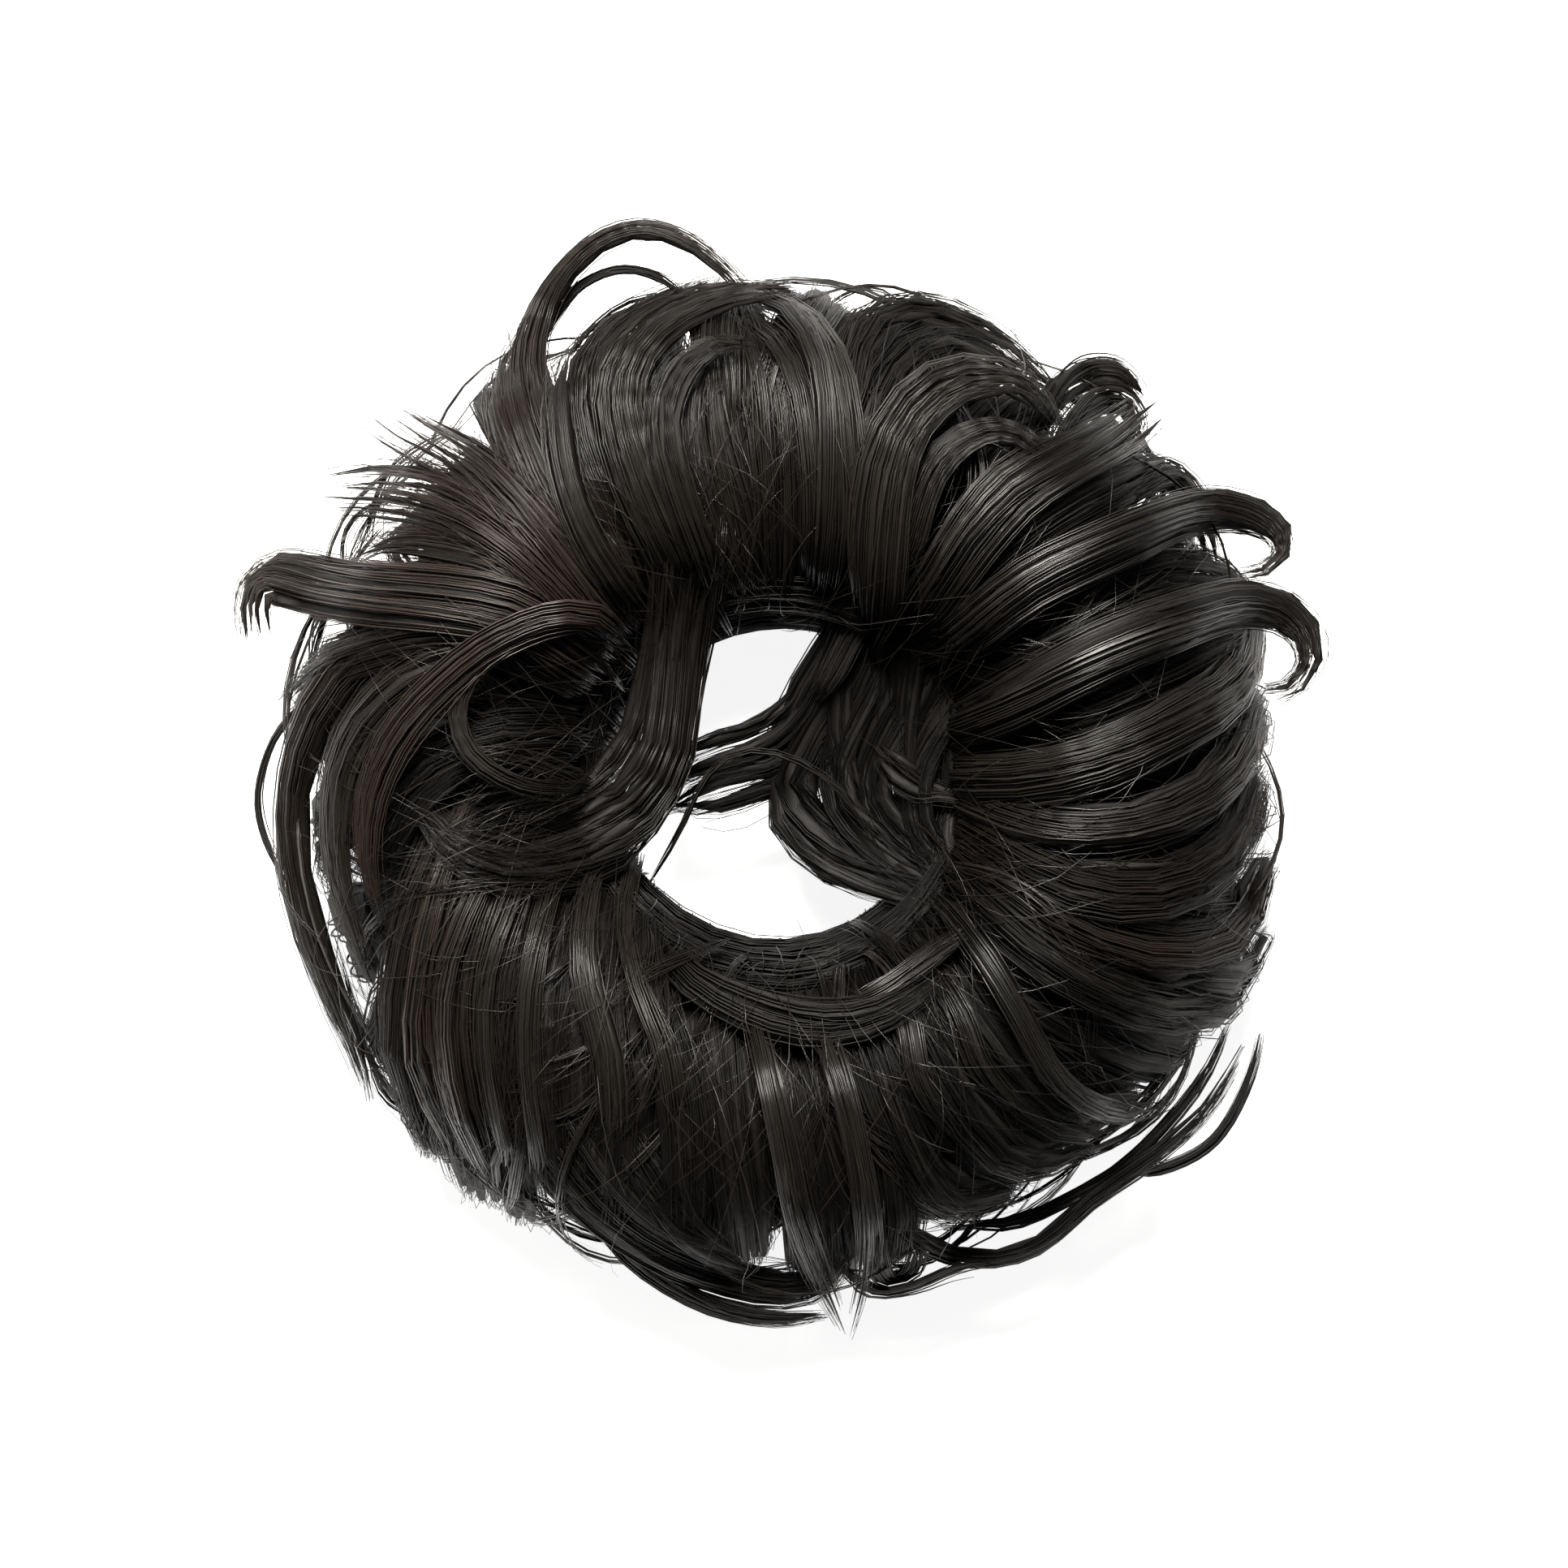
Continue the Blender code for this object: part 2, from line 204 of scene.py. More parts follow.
@dataclass(frozen=True)
class RingForm:
    """The backing that the locks lie on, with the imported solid's own sizes."""

    radius: float = 59.0
    half_height: float = 26.0
    half_inside: float = 25.0
    half_outside: float = 23.0
    band_radius: float = 34.0

    def surface(
        self, angle: float, azimuth: float, stand_off: float, reach: float
    ) -> tuple[Vector, Vector]:
        """Finds a point over the backing.

        Args:
            angle: Place round the section: 0 at the rim, 90 at the crown, 180 in the hole.
            azimuth: Place round the ring.
            stand_off: Height over the backing.
            reach: Radius that the point has at the rim.

        Returns:
            The point and the outward normal there, in millimetres.
        """
        across = math.cos(math.radians(angle))
        up = math.sin(math.radians(angle))
        half_across = reach - self.radius if across > 0 else self.half_inside + stand_off
        half_up = self.half_height + stand_off
        outward = bearing(azimuth)
        point = outward * (self.radius + half_across * across)
        point.z = self.half_height + half_up * up
        normal = outward * (across / half_across)
        normal.z = up / half_up
        return point, normal.normalized()


RING = RingForm()


# Locks


@dataclass(frozen=True)
class Taper:
    """How a lock narrows at its two ends, as shares of its full width."""

    root: float
    tip: float
    root_run: float = 0.3
    tip_run: float = 0.35

    def at(self, share: float) -> float:
        """Returns the width factor at a share of the lock's length."""
        rise = min(1.0, self.root + (1.0 - self.root) * max(share, 0.0) / self.root_run)
        fall = min(1.0, self.tip + (1.0 - self.tip) * max(1.0 - share, 0.0) / self.tip_run)
        return math.sin(min(rise, fall) * math.pi / 2)


@dataclass(frozen=True)
class CrownLock:
    """A lock that rises out of the hole, lies over the crown and turns under at the rim.

    Root, crown and rim are azimuths, and the angles run round the ring's section.
    """

    name: str
    root: float
    crown: float
    rim: float
    reach: float
    width: float
    lift: float = 0.0
    thick: float = 6.5
    shade: Shade = Shade.BLACK
    # painted shade: the crown locks lie under the ribbons, so their colour level is set low
    tone: float = -0.5
    sink: float = 3.0
    first_angle: float = 174.0
    root_angle: float = 152.0
    tuck_angle: float = -38.0
    taper: Taper = Taper(0.45, 0.35)

    def stations(self, count: int) -> list[Station]:
        """Lays the lock over the backing.

        Args:
            count: How many stations to make.

        Returns:
            The stations from the hole's wall to below the rim.
        """
        crown = unwrapped(self.crown, self.root)
        rim = unwrapped(self.rim, crown)
        half_thick = self.thick / 2
        stations = []
        for step in range(count):
            angle = self.first_angle + (self.tuck_angle - self.first_angle) * step / (count - 1)
            share = (self.root_angle - angle) / (self.root_angle - self.tuck_angle)
            azimuth = through_three(self.root, crown, rim, share)
            lift = self.lift * math.sin(math.pi * max(share, 0.0))
            stand_off = half_thick - self.sink + lift
            point, normal = RING.surface(angle, azimuth, stand_off, self.reach - half_thick)
            width = self.taper.at(share)
            stations.append(Station(point, normal, self.width / 2 * width, half_thick * (1.0 + width) / 2))
        return stations


@dataclass(frozen=True)
class Ribbon:
    """A lock that is seen from above, laid along the (x, y) points that it passes over.

    Over the ring it runs at its stand above the backing. Past leaving_radius it comes to
    end_height, and an end lower than folds_below folds under the rim. Its root dives into
    the hole's wall or is tucked under other locks. Hang lowers it inside the hole, sinks
    lowers its second half, and on_edge turns it on edge towards its tip.
    """

    STEEPEST_INSIDE: ClassVar[float] = -0.9
    STEEPEST_OUTSIDE: ClassVar[float] = 0.75

    name: str
    width: float
    stand: float
    end_height: float
    route: tuple[tuple[float, float], ...]
    shade: Shade = Shade.BLACK
    # colour level: partly the lock's own tone, partly painted light, set high on locks that catch the
    # highlight and low on locks in shade
    tone: float = 0.0
    taper: Taper = Taper(0.5, 0.1, 0.3, 0.4)
    on_edge: float = 0.0
    thick: float = 6.5
    wisps: int = 4
    fray: float = 1.0
    dives: bool = True
    rim: float = 98.0
    leaving_radius: float = 84.0
    leaving_run: float = 14.0
    lip_radius: float = 36.0
    root_radius: float = 35.5
    root_height: float = 27.0
    on_edge_by: float = 0.5
    base: float = 3.0
    hang: float = 0.0
    folds_below: float = 29.0
    fold: tuple[tuple[float, float], ...] = ((1.5, -11.0), (-5.0, -19.0))
    ragged: float = 0.14
    loss: float = 1.0
    density: float = 6.4
    tuck: float = 7.0
    tuck_run: float = 0.18
    sinks: float = 0.0
    core: float = 0.75
    extra: int = 0
    thinnest: float = 0.4

    def height(self, radius: float) -> float:
        """Returns how high the lock runs over the ring, or past it, at a radius."""
        over = min(max(radius, self.lip_radius), self.leaving_radius)
        half_across = self.rim - RING.radius if over > RING.radius else RING.half_inside
        across = (over - RING.radius) / half_across
        level = RING.half_height * (1.0 + math.sqrt(1.0 - across * across))
        level += self.base + self.stand
        level -= self.hang * max(0.0, 1.0 - radius / self.lip_radius)
        off_ring = min(1.0, max(0.0, (radius - self.leaving_radius) / self.leaving_run))
        off_ring = off_ring * off_ring * (3.0 - 2.0 * off_ring)
        return level + (self.end_height - level) * off_ring

    def lean(self, point: Vector) -> Vector:
        """Returns the way that the ring's surface looks at a point, no steeper than its limits."""
        radius = math.hypot(point.x, point.y)
        outward = Vector((point.x, point.y, 0.0)) / max(radius, 1.0)
        half_across = self.rim - RING.radius if radius > RING.radius else RING.half_inside
        across = max(self.STEEPEST_INSIDE, min(self.STEEPEST_OUTSIDE, (radius - RING.radius) / half_across))
        return (outward * across + Vector((0.0, 0.0, math.sqrt(1.0 - across * across)))).normalized()

    def stations(self, count: int) -> list[Station]:
        """Lays the lock along its route, turning on edge where it curls off the ring.

        Args:
            count: How many stations to make.

        Returns:
            The stations from root to tip.
        """
        points = [Vector((x, y, self.height(math.hypot(x, y)))) for x, y in self.route]
        if self.end_height < self.folds_below:
            last = points[-1].copy()
            outward = Vector((last.x, last.y, 0.0)).normalized()
            points += [last + outward * out + Vector((0.0, 0.0, drop)) for out, drop in self.fold]
        if self.dives:
            first = points[0]
            root = Vector((first.x, first.y, 0.0)).normalized() * self.root_radius
            points.insert(0, root + Vector((0.0, 0.0, self.root_height)))
        path = catmull_rom(points, count)
        self.tuck_ends(path)
        headings = [self.heading(path, index) for index in range(count)]
        middle = headings[count // 2]
        turn = unwrapped(headings[-1], middle) - unwrapped(headings[0], middle)
        stations = []
        for index, point in enumerate(path):
            share = index / (count - 1)
            edge = min(1.0, share / self.on_edge_by) * self.on_edge
            normal = self.lean(point) * (1.0 - edge)
            normal += bearing(headings[index] - math.copysign(90.0, turn)) * edge
            width = self.taper.at(share)
            thick = self.thinnest + (1.0 - self.thinnest) * width
            stations.append(
                Station(point, normal.normalized(), self.width / 2 * width, self.thick / 2 * thick)
            )
        return stations

    def tuck_ends(self, path: list[Vector]) -> None:
        """Sinks an end that lies on the ring, so that it comes out of the other locks.

        Args:
            path: The lock's points, which are moved.
        """
        last = len(path) - 1
        ends_on_ring = math.hypot(path[-1].x, path[-1].y) < self.leaving_radius
        for index, point in enumerate(path):
            share = index / last
            if not self.dives:
                point.z -= self.tuck * max(0.0, 1.0 - share / self.tuck_run) ** 2
            point.z -= self.sinks * max(0.0, 2.0 * share - 1.0)
            if ends_on_ring and self.end_height >= self.folds_below:
                point.z -= self.tuck * max(0.0, 1.0 - (1.0 - share) / self.tuck_run) ** 2

    @staticmethod
    def heading(path: Sequence[Vector], index: int) -> float:
        """Returns the path's heading at a point, in degrees, seen from above."""
        run = path[min(index + 1, len(path) - 1)] - path[max(index - 1, 0)]
        return math.degrees(math.atan2(run.y, run.x))


# Wisps


@dataclass
class Guide:
    """The path of one wisp, and what the strands round it are like."""

    sections: list[Section]
    strands: int
    tint: float = 0.0
    # colour level: random tone plus the painted highlight or shade of its lock
    tone: float = 0.0
    fray: float = 1.0
    core: float = 1.0
    loss: float = 1.0


@dataclass(frozen=True)
class WispStyle:
    """How a lock splits into wisps. Lengths are shares of the lock's own half sizes."""

    wisps: int
    strands: int
    span: float = 0.78
    overlap: float = 1.45
    thickness: float = 0.55
    sway: float = 0.22
    wobble: float = 0.10
    waves: float = 1.1
    rise: float = 0.35
    lean: float = 16.0
    dome: float = 0.55
    tone_spread: float = 0.5
    fray: float = 1.0
    ragged: float = 0.0
    loss: float = 1.0
    # painted shade: wisps towards a lock's edges get a lower colour level, for the shadow between locks
    edge_painted_shade: float = 0.0
    core: float = 0.8
    own_waves: tuple[float, float] = (0.6, 1.4)
    own_girth: tuple[float, float] = (0.8, 1.2)
    least_strands: int = 4

    def split(self, lock: "CrownLock | Ribbon", count: int, rng: random.Random) -> list[Guide]:
        """Splits a lock into wisps.

        Args:
            lock: The lock to split.
            count: Stations in each wisp.
            rng: Where the wisps' own places come from.

        Returns:
            One guide for each wisp.
        """
        whole = sections_of(lock.stations(count))
        return [self.wisp(whole, index, lock, rng) for index in range(self.wisps)]

    def wisp(
        self, whole: list[Section], index: int, lock: "CrownLock | Ribbon", rng: random.Random
    ) -> Guide:
        """Lays one wisp inside its lock.

        Args:
            whole: The lock's sections.
            index: Which wisp this is, counted across the lock.
            lock: The lock, for its colour.
            rng: Where the wisp's own place comes from.

        Returns:
            The wisp's guide.
        """
        base = (2.0 * (index + 0.5) / self.wisps - 1.0) * self.span
        sway = rng.uniform(-self.sway, self.sway)
        phase = rng.uniform(0.0, math.tau)
        waves = rng.uniform(*self.own_waves) * self.waves
        rise = rng.uniform(-self.rise, self.rise)
        lean = math.radians(-base * self.lean + rng.uniform(-self.lean, self.lean) * 0.5)
        girth = rng.uniform(*self.own_girth)
        share_of_width = self.overlap / self.wisps * girth
        length = 1.0 - rng.uniform(0.0, self.ragged)
        stations = []
        for share in shares(len(whole)):
            part = section_at(whole, share * length)
            wave = self.wobble * math.sin(math.tau * waves * share + phase)
            across = base + sway * share * share + wave
            up = rise * math.sin(math.pi * share) - self.dome * across * across
            point = part.point + part.side * (part.half_width * across) + part.top * (part.half_thick * up)
            normal = part.top * math.cos(lean) - part.side * math.sin(lean)
            stations.append(
                Station(point, normal, part.half_width * share_of_width, part.half_thick * self.thickness)
            )
        own_tone = rng.uniform(-self.tone_spread, self.tone_spread)
        return Guide(
            sections_of(stations),
            max(self.least_strands, round(self.strands * girth)),
            lock.shade.value,
            # the edge wisps' level is lowered here as painted shade between locks
            lock.tone + own_tone - self.edge_painted_shade * base * base,
            self.fray,
            self.core,
            self.loss,
        )


# Node trees


class TreeMaker:
    """Adds nodes to one tree with short calls."""

    def __init__(self, tree: bpy.types.NodeTree) -> None:
        """Takes the tree to add to."""
        self.tree = tree

    def put(self, kind: str, *values: Wire, **settings: object) -> bpy.types.Node:
        """Adds a node and fills its inputs.

        Args:
            kind: The node's type.
            *values: One for each enabled input in turn: a socket to link, a value, or None to skip.
            **settings: The node's own settings.

        Returns:
            The new node.
        """
        node = self.tree.nodes.new(kind)
        for name, value in settings.items():
            setattr(node, name, value)
        slots = [slot for slot in node.inputs if slot.enabled]
        for slot, value in zip(slots, values):
            if isinstance(value, bpy.types.NodeSocket):
                self.tree.links.new(value, slot)
            elif value is not None:
                slot.default_value = value
        return node

    def out(self, kind: str, *values: Wire, **settings: object) -> bpy.types.NodeSocket:
        """Adds a node as put does and returns its first enabled output."""
        return next(slot for slot in self.put(kind, *values, **settings).outputs if slot.enabled)


class GeometryMaker(TreeMaker):
    """Adds nodes to a geometry tree that has named inputs."""

    SOCKETS = {float: "NodeSocketFloat", int: "NodeSocketInt"}

    def __init__(self, name: str, values: dict[str, float | int]) -> None:
        """Starts a geometry tree, which also has an input for its finish.

        Args:
            name: The tree's name.
            values: The first value of each named input, which gives the input its type.
        """
        super().__init__(bpy.data.node_groups.new(name, "GeometryNodeTree"))
        sockets = self.tree.interface
        sockets.new_socket("Geometry", in_out="INPUT", socket_type="NodeSocketGeometry")
        for title, value in values.items():
            kind = self.SOCKETS[type(value)]
            sockets.new_socket(title, in_out="INPUT", socket_type=kind).default_value = value
        sockets.new_socket("Finish", in_out="INPUT", socket_type="NodeSocketMaterial")
        sockets.new_socket("Geometry", in_out="OUTPUT", socket_type="NodeSocketGeometry")
        self.given = self.tree.nodes.new("NodeGroupInput").outputs

    def math(self, operation: str, first: Wire, second: Wire = None) -> bpy.types.NodeSocket:
        """Adds a Math node."""
        return self.out("ShaderNodeMath", first, second, operation=operation)

    def times(self, first: Wire, *factors: Wire) -> bpy.types.NodeSocket:
        """Adds Math nodes that multiply numbers, from the first to the last."""
        for factor in factors:
            first = self.math("MULTIPLY", first, factor)
        return first

    def vector(self, operation: str, first: Wire, second: Wire = None) -> bpy.types.NodeSocket:
        """Adds a Vector Math node."""
        return self.out("ShaderNodeVectorMath", first, second, operation=operation)

    def scaled(self, vector: Wire, factor: bpy.types.NodeSocket) -> bpy.types.NodeSocket:
        """Adds a Vector Math node that multiplies a vector by a number."""
        node = self.put("ShaderNodeVectorMath", vector, operation="SCALE")
        self.tree.links.new(factor, node.inputs["Scale"])
        return node.outputs["Vector"]

    def attribute(self, name: str, data_type: str = "FLOAT") -> bpy.types.NodeSocket:
        """Adds a Named Attribute node."""
        return self.out("GeometryNodeInputNamedAttribute", name, data_type=data_type)

    def ramp(self, value: Wire, start: float, end: float, low: float, high: float) -> bpy.types.NodeSocket:
        """Adds a smooth Map Range node from start..end to low..high."""
        return self.out(
            "ShaderNodeMapRange", value, start, end, low, high, interpolation_type="SMOOTHSTEP"
        )

    def chance(self, low: float, high: float, salt: int) -> bpy.types.NodeSocket:
        """Adds a random number that is the same all along a strand.

        Args:
            low: Least value.
            high: Greatest value.
            salt: Sets this draw apart from the tree's others.

        Returns:
            The number's socket.
        """
        seed = self.math("ADD", self.given["Seed"], float(salt))
        index = self.out("GeometryNodeInputIndex")
        draw = self.out("FunctionNodeRandomValue", low, high, index, seed, data_type="FLOAT")
        return self.out("GeometryNodeFieldOnDomain", draw, domain="CURVE", data_type="FLOAT")

    def finish(self, geometry: bpy.types.NodeSocket) -> bpy.types.NodeTree:
        """Ends the tree: smooth shading, real geometry and the given material."""
        smooth = self.out("GeometryNodeSetShadeSmooth", geometry)
        real = self.out("GeometryNodeRealizeInstances", smooth)
        dressed = self.out("GeometryNodeSetMaterial", real, None, self.given["Finish"])
        self.put("NodeGroupOutput", dressed)
        return self.tree


@dataclass(frozen=True)
class StrandStyle:
    """What the strands of a piece are like. Widths and fray are millimetres."""

    width: float = 0.42
    shell: float = 1.0
    crossing: float = 0.25
    fray: float = 0.45
    wild: float = 9.0
    shortest: float = 0.86
    latest: float = 0.07
    tip: float = 0.3
    seed: int = 1

    def values(self) -> dict[str, float | int]:
        """Returns the values of the strand tree's named inputs."""
        return {
            "Strand Width": self.width * MM,
            "Shell": self.shell,
            "Crossing": self.crossing,
            "Fray": self.fray * MM,
            "Wild": self.wild,
            "Shortest": self.shortest,
            "Latest Start": self.latest,
            "Tip": self.tip,
            "Seed": self.seed,
        }


class StrandTree:
    """The Geometry Nodes tree that fills wisps with strands."""

    NOISE_SCALE = 22.0
    NOISE_GAIN = 4.0
    FRAY_AT_ROOT = 0.35
    FRAY_AT_TIP = 1.35
    WILD_POWER = 14.0
    LEAST_HEIGHT = 0.5 * MM
    TONE_SPREAD = 0.35
    SIDES = 3
    THINS_FROM = 0.5
    ROOT_WIDTH = 0.5
    ROOT_RUN = 0.08
    LEAST_RADIUS = 0.35
    GREATEST_RADIUS = 0.65

    def __init__(self) -> None:
        """Builds the tree once for every piece."""
        self.maker = GeometryMaker("strands_round_wisps", StrandStyle().values())
        self.tree = self.build()

    def build(self) -> bpy.types.NodeTree:
        """Wires the tree.

        Returns:
            The finished tree.
        """
        make = self.maker
        curves = make.out("GeometryNodeMeshToCurve", make.given["Geometry"])
        amount = make.attribute("amount", "INT")
        strands = make.out("GeometryNodeDuplicateElements", curves, None, amount, domain="SPLINE")
        spread = make.out("GeometryNodeSetPosition", strands, None, None, self.place_in_wisp())
        frayed = make.out("GeometryNodeSetPosition", spread, None, None, self.waver())
        lifted = make.out("GeometryNodeSetPosition", frayed, None, self.above_floor())
        start = make.times(make.chance(0.0, 1.0, 11), make.given["Latest Start"])
        loss = make.math("POWER", make.chance(0.0, 1.0, 12), 2.0)
        longest_loss = make.math("SUBTRACT", 1.0, make.given["Shortest"])
        end = make.math("SUBTRACT", 1.0, make.times(loss, make.attribute("loss"), longest_loss))
        cut = make.out("GeometryNodeTrimCurve", lifted, None, start, end, mode="FACTOR")
        own_tone = make.chance(-self.TONE_SPREAD, self.TONE_SPREAD, 13)
        tone = make.math("ADD", make.attribute("tone"), own_tone)
        toned = make.out(
            "GeometryNodeStoreNamedAttribute", cut, None, "tone", tone, data_type="FLOAT", domain="POINT"
        )
        profile = make.out("GeometryNodeCurvePrimitiveCircle", self.SIDES, 1.0)
        tubes = make.out("GeometryNodeCurveToMesh", toned, profile, self.thickness(), True)
        return make.finish(tubes)

    def place_in_wisp(self) -> bpy.types.NodeSocket:
        """Returns each strand's offset from its wisp's middle line."""
        make = self.maker
        across = make.chance(-1.0, 1.0, 1)
        arch = make.math("SQRT", make.math("SUBTRACT", 1.0, make.times(across, across)))
        depth = make.math("POWER", make.chance(0.0, 1.0, 2), make.given["Shell"])
        up = make.times(arch, make.math("SUBTRACT", 1.0, make.times(depth, 2.0)))
        drift = make.times(make.chance(-1.0, 1.0, 3), make.given["Crossing"])
        run = make.math("SUBTRACT", make.attribute("along"), 0.5)
        across = make.math("ADD", across, make.times(drift, run))
        across = make.times(across, make.attribute("half_width"))
        up = make.times(up, make.attribute("half_thick"))
        side = make.scaled(make.attribute("side", "FLOAT_VECTOR"), across)
        top = make.scaled(make.attribute("top", "FLOAT_VECTOR"), up)
        return make.vector("ADD", side, top)

    def waver(self) -> bpy.types.NodeSocket:
        """Returns each strand's own slow wandering, which grows towards its tip."""
        make = self.maker
        position = make.out("GeometryNodeInputPosition")
        own = make.chance(0.0, 100.0, 4)
        noise = make.put(
            "ShaderNodeTexNoise", position, own, self.NOISE_SCALE, 1.0, noise_dimensions="4D"
        )
        centred = make.vector("SUBTRACT", noise.outputs["Color"], (0.5, 0.5, 0.5))
        wild = make.math("POWER", make.chance(0.0, 1.0, 5), self.WILD_POWER)
        wild = make.math("ADD", 1.0, make.times(wild, make.given["Wild"]))
        grow = make.ramp(make.attribute("along"), 0.0, 1.0, self.FRAY_AT_ROOT, self.FRAY_AT_TIP)
        reach = make.times(make.given["Fray"], self.NOISE_GAIN, make.attribute("fray"))
        return make.scaled(centred, make.times(wild, grow, reach))

    def above_floor(self) -> bpy.types.NodeSocket:
        """Returns the strands' places, none of them under the resting face."""
        make = self.maker
        place = make.put("ShaderNodeSeparateXYZ", make.out("GeometryNodeInputPosition")).outputs
        height = make.math("MAXIMUM", place["Z"], self.LEAST_HEIGHT)
        return make.out("ShaderNodeCombineXYZ", place["X"], place["Y"], height)

    def thickness(self) -> bpy.types.NodeSocket:
        """Returns each strand's radius, which thins to the tip."""
        make = self.maker
        share = make.out("GeometryNodeSplineParameter")
        thin = make.ramp(share, self.THINS_FROM, 1.0, 1.0, 0.0)
        span = make.math("SUBTRACT", 1.0, make.given["Tip"])
        thin = make.math("ADD", make.times(thin, span), make.given["Tip"])
        root = make.ramp(share, 0.0, self.ROOT_RUN, self.ROOT_WIDTH, 1.0)
        own = make.chance(self.LEAST_RADIUS, self.GREATEST_RADIUS, 6)
        radius = make.times(make.given["Strand Width"], own)
        return make.times(thin, root, radius)


# Making pieces


class Workshop:
    """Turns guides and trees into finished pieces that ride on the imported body."""

    KEPT_ATTRIBUTES = {"along", "tone", "tint", "position", "sharp_face"}

    def __init__(self) -> None:
        """Builds the strand tree that the hair pieces share."""
        self.strands = StrandTree()

    @staticmethod
    def guide_object(name: str, guides: Sequence[Guide]) -> bpy.types.Object:
        """Makes the mesh of guide lines that the strand tree reads.

        Args:
            name: Name of the piece that they are for.
            guides: The wisps.

        Returns:
            An object whose edges are the guides, in metres, with what the tree needs on its points.
        """
        mesh = bpy.data.meshes.new(f"{name}_guides")
        points, edges = [], []
        columns: dict[str, list[float]] = {
            key: [] for key in ("half_width", "half_thick", "along", "tint", "tone", "fray", "loss")
        }
        vectors: dict[str, list[float]] = {"side": [], "top": []}
        amounts: list[int] = []
        for guide in guides:
            for share, part in zip(shares(len(guide.sections)), guide.sections):
                if share:
                    edges.append((len(points) - 1, len(points)))
                points.append(part.point * MM)
                row = (part.half_width * MM, part.half_thick * MM, share)
                row += (guide.tint, guide.tone, guide.fray, guide.loss)
                for column, value in zip(columns.values(), row):
                    column.append(value)
                vectors["side"].extend(part.side)
                vectors["top"].extend(part.top)
                amounts.append(guide.strands)
        mesh.from_pydata(points, edges, [])
        for key, values in columns.items():
            mesh.attributes.new(key, "FLOAT", "POINT").data.foreach_set("value", values)
        for key, values in vectors.items():
            mesh.attributes.new(key, "FLOAT_VECTOR", "POINT").data.foreach_set("vector", values)
        mesh.attributes.new("amount", "INT", "POINT").data.foreach_set("value", amounts)
        return bpy.data.objects.new(f"{name}_guides", mesh)

    def applied(
        self, name: str, source: bpy.types.Object, tree: bpy.types.NodeTree, values: dict[str, Wire]
    ) -> bpy.types.Object:
        """Runs a tree on an object and keeps the result as a plain mesh.

        Args:
            name: Name of the piece.
            source: The object that the tree starts from, which is removed.
            tree: The Geometry Nodes tree.
            values: Values of its named inputs.

        Returns:
            The finished piece, at the origin.
        """
        bpy.context.scene.collection.objects.link(source)
        modifier = source.modifiers.new(tree.name, "NODES")
        modifier.node_group = tree
        inputs = [item for item in tree.interface.items_tree if item.in_out == "INPUT"]
        sockets = {item.name: item.identifier for item in inputs}
        for title, value in values.items():
            modifier[sockets[title]] = value
        grown = source.evaluated_get(bpy.context.evaluated_depsgraph_get())
        mesh = bpy.data.meshes.new_from_object(grown)
        source.modifiers.clear()
        bpy.data.objects.remove(source, do_unlink=True)
        mesh.name = name
        spare = [
            attribute.name
            for attribute in mesh.attributes
            if attribute.name not in self.KEPT_ATTRIBUTES
            and not attribute.is_internal
            and not attribute.is_required
        ]
        for title in spare:
            mesh.attributes.remove(mesh.attributes[title])
        return added(name, mesh)

    def grow(
        self, name: str, guides: Sequence[Guide], style: StrandStyle, finish: bpy.types.Material
    ) -> bpy.types.Object:
        """Fills wisps with strands.

        Args:
            name: Name of the piece.
            guides: The wisps.
            style: What the strands are like.
            finish: The strands' material.

        Returns:
            The piece of hair.
        """
        values: dict[str, Wire] = {**style.values(), "Finish": finish}
        return self.applied(name, self.guide_object(name, guides), self.strands.tree, values)

    def add_hair(
        self, name: str, guides: Sequence[Guide], style: StrandStyle, finish: bpy.types.Material
    ) -> None:
        """Grows a piece of the loose hair as grow does, and puts it on the body."""
        self.hand_over(self.grow(name, guides, style, finish), "hair", Node.RING)

    @staticmethod
    def hand_over(piece: bpy.types.Object, slot: str, *nodes: str) -> None:
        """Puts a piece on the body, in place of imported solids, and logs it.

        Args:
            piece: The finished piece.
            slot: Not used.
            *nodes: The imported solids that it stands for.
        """
        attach(piece, BODY)
        if nodes:
            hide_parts(*nodes)
        triangles = sum(len(face.vertices) - 2 for face in piece.data.polygons)
        log.info("%s: %d triangles", piece.name, triangles)


# Finishes


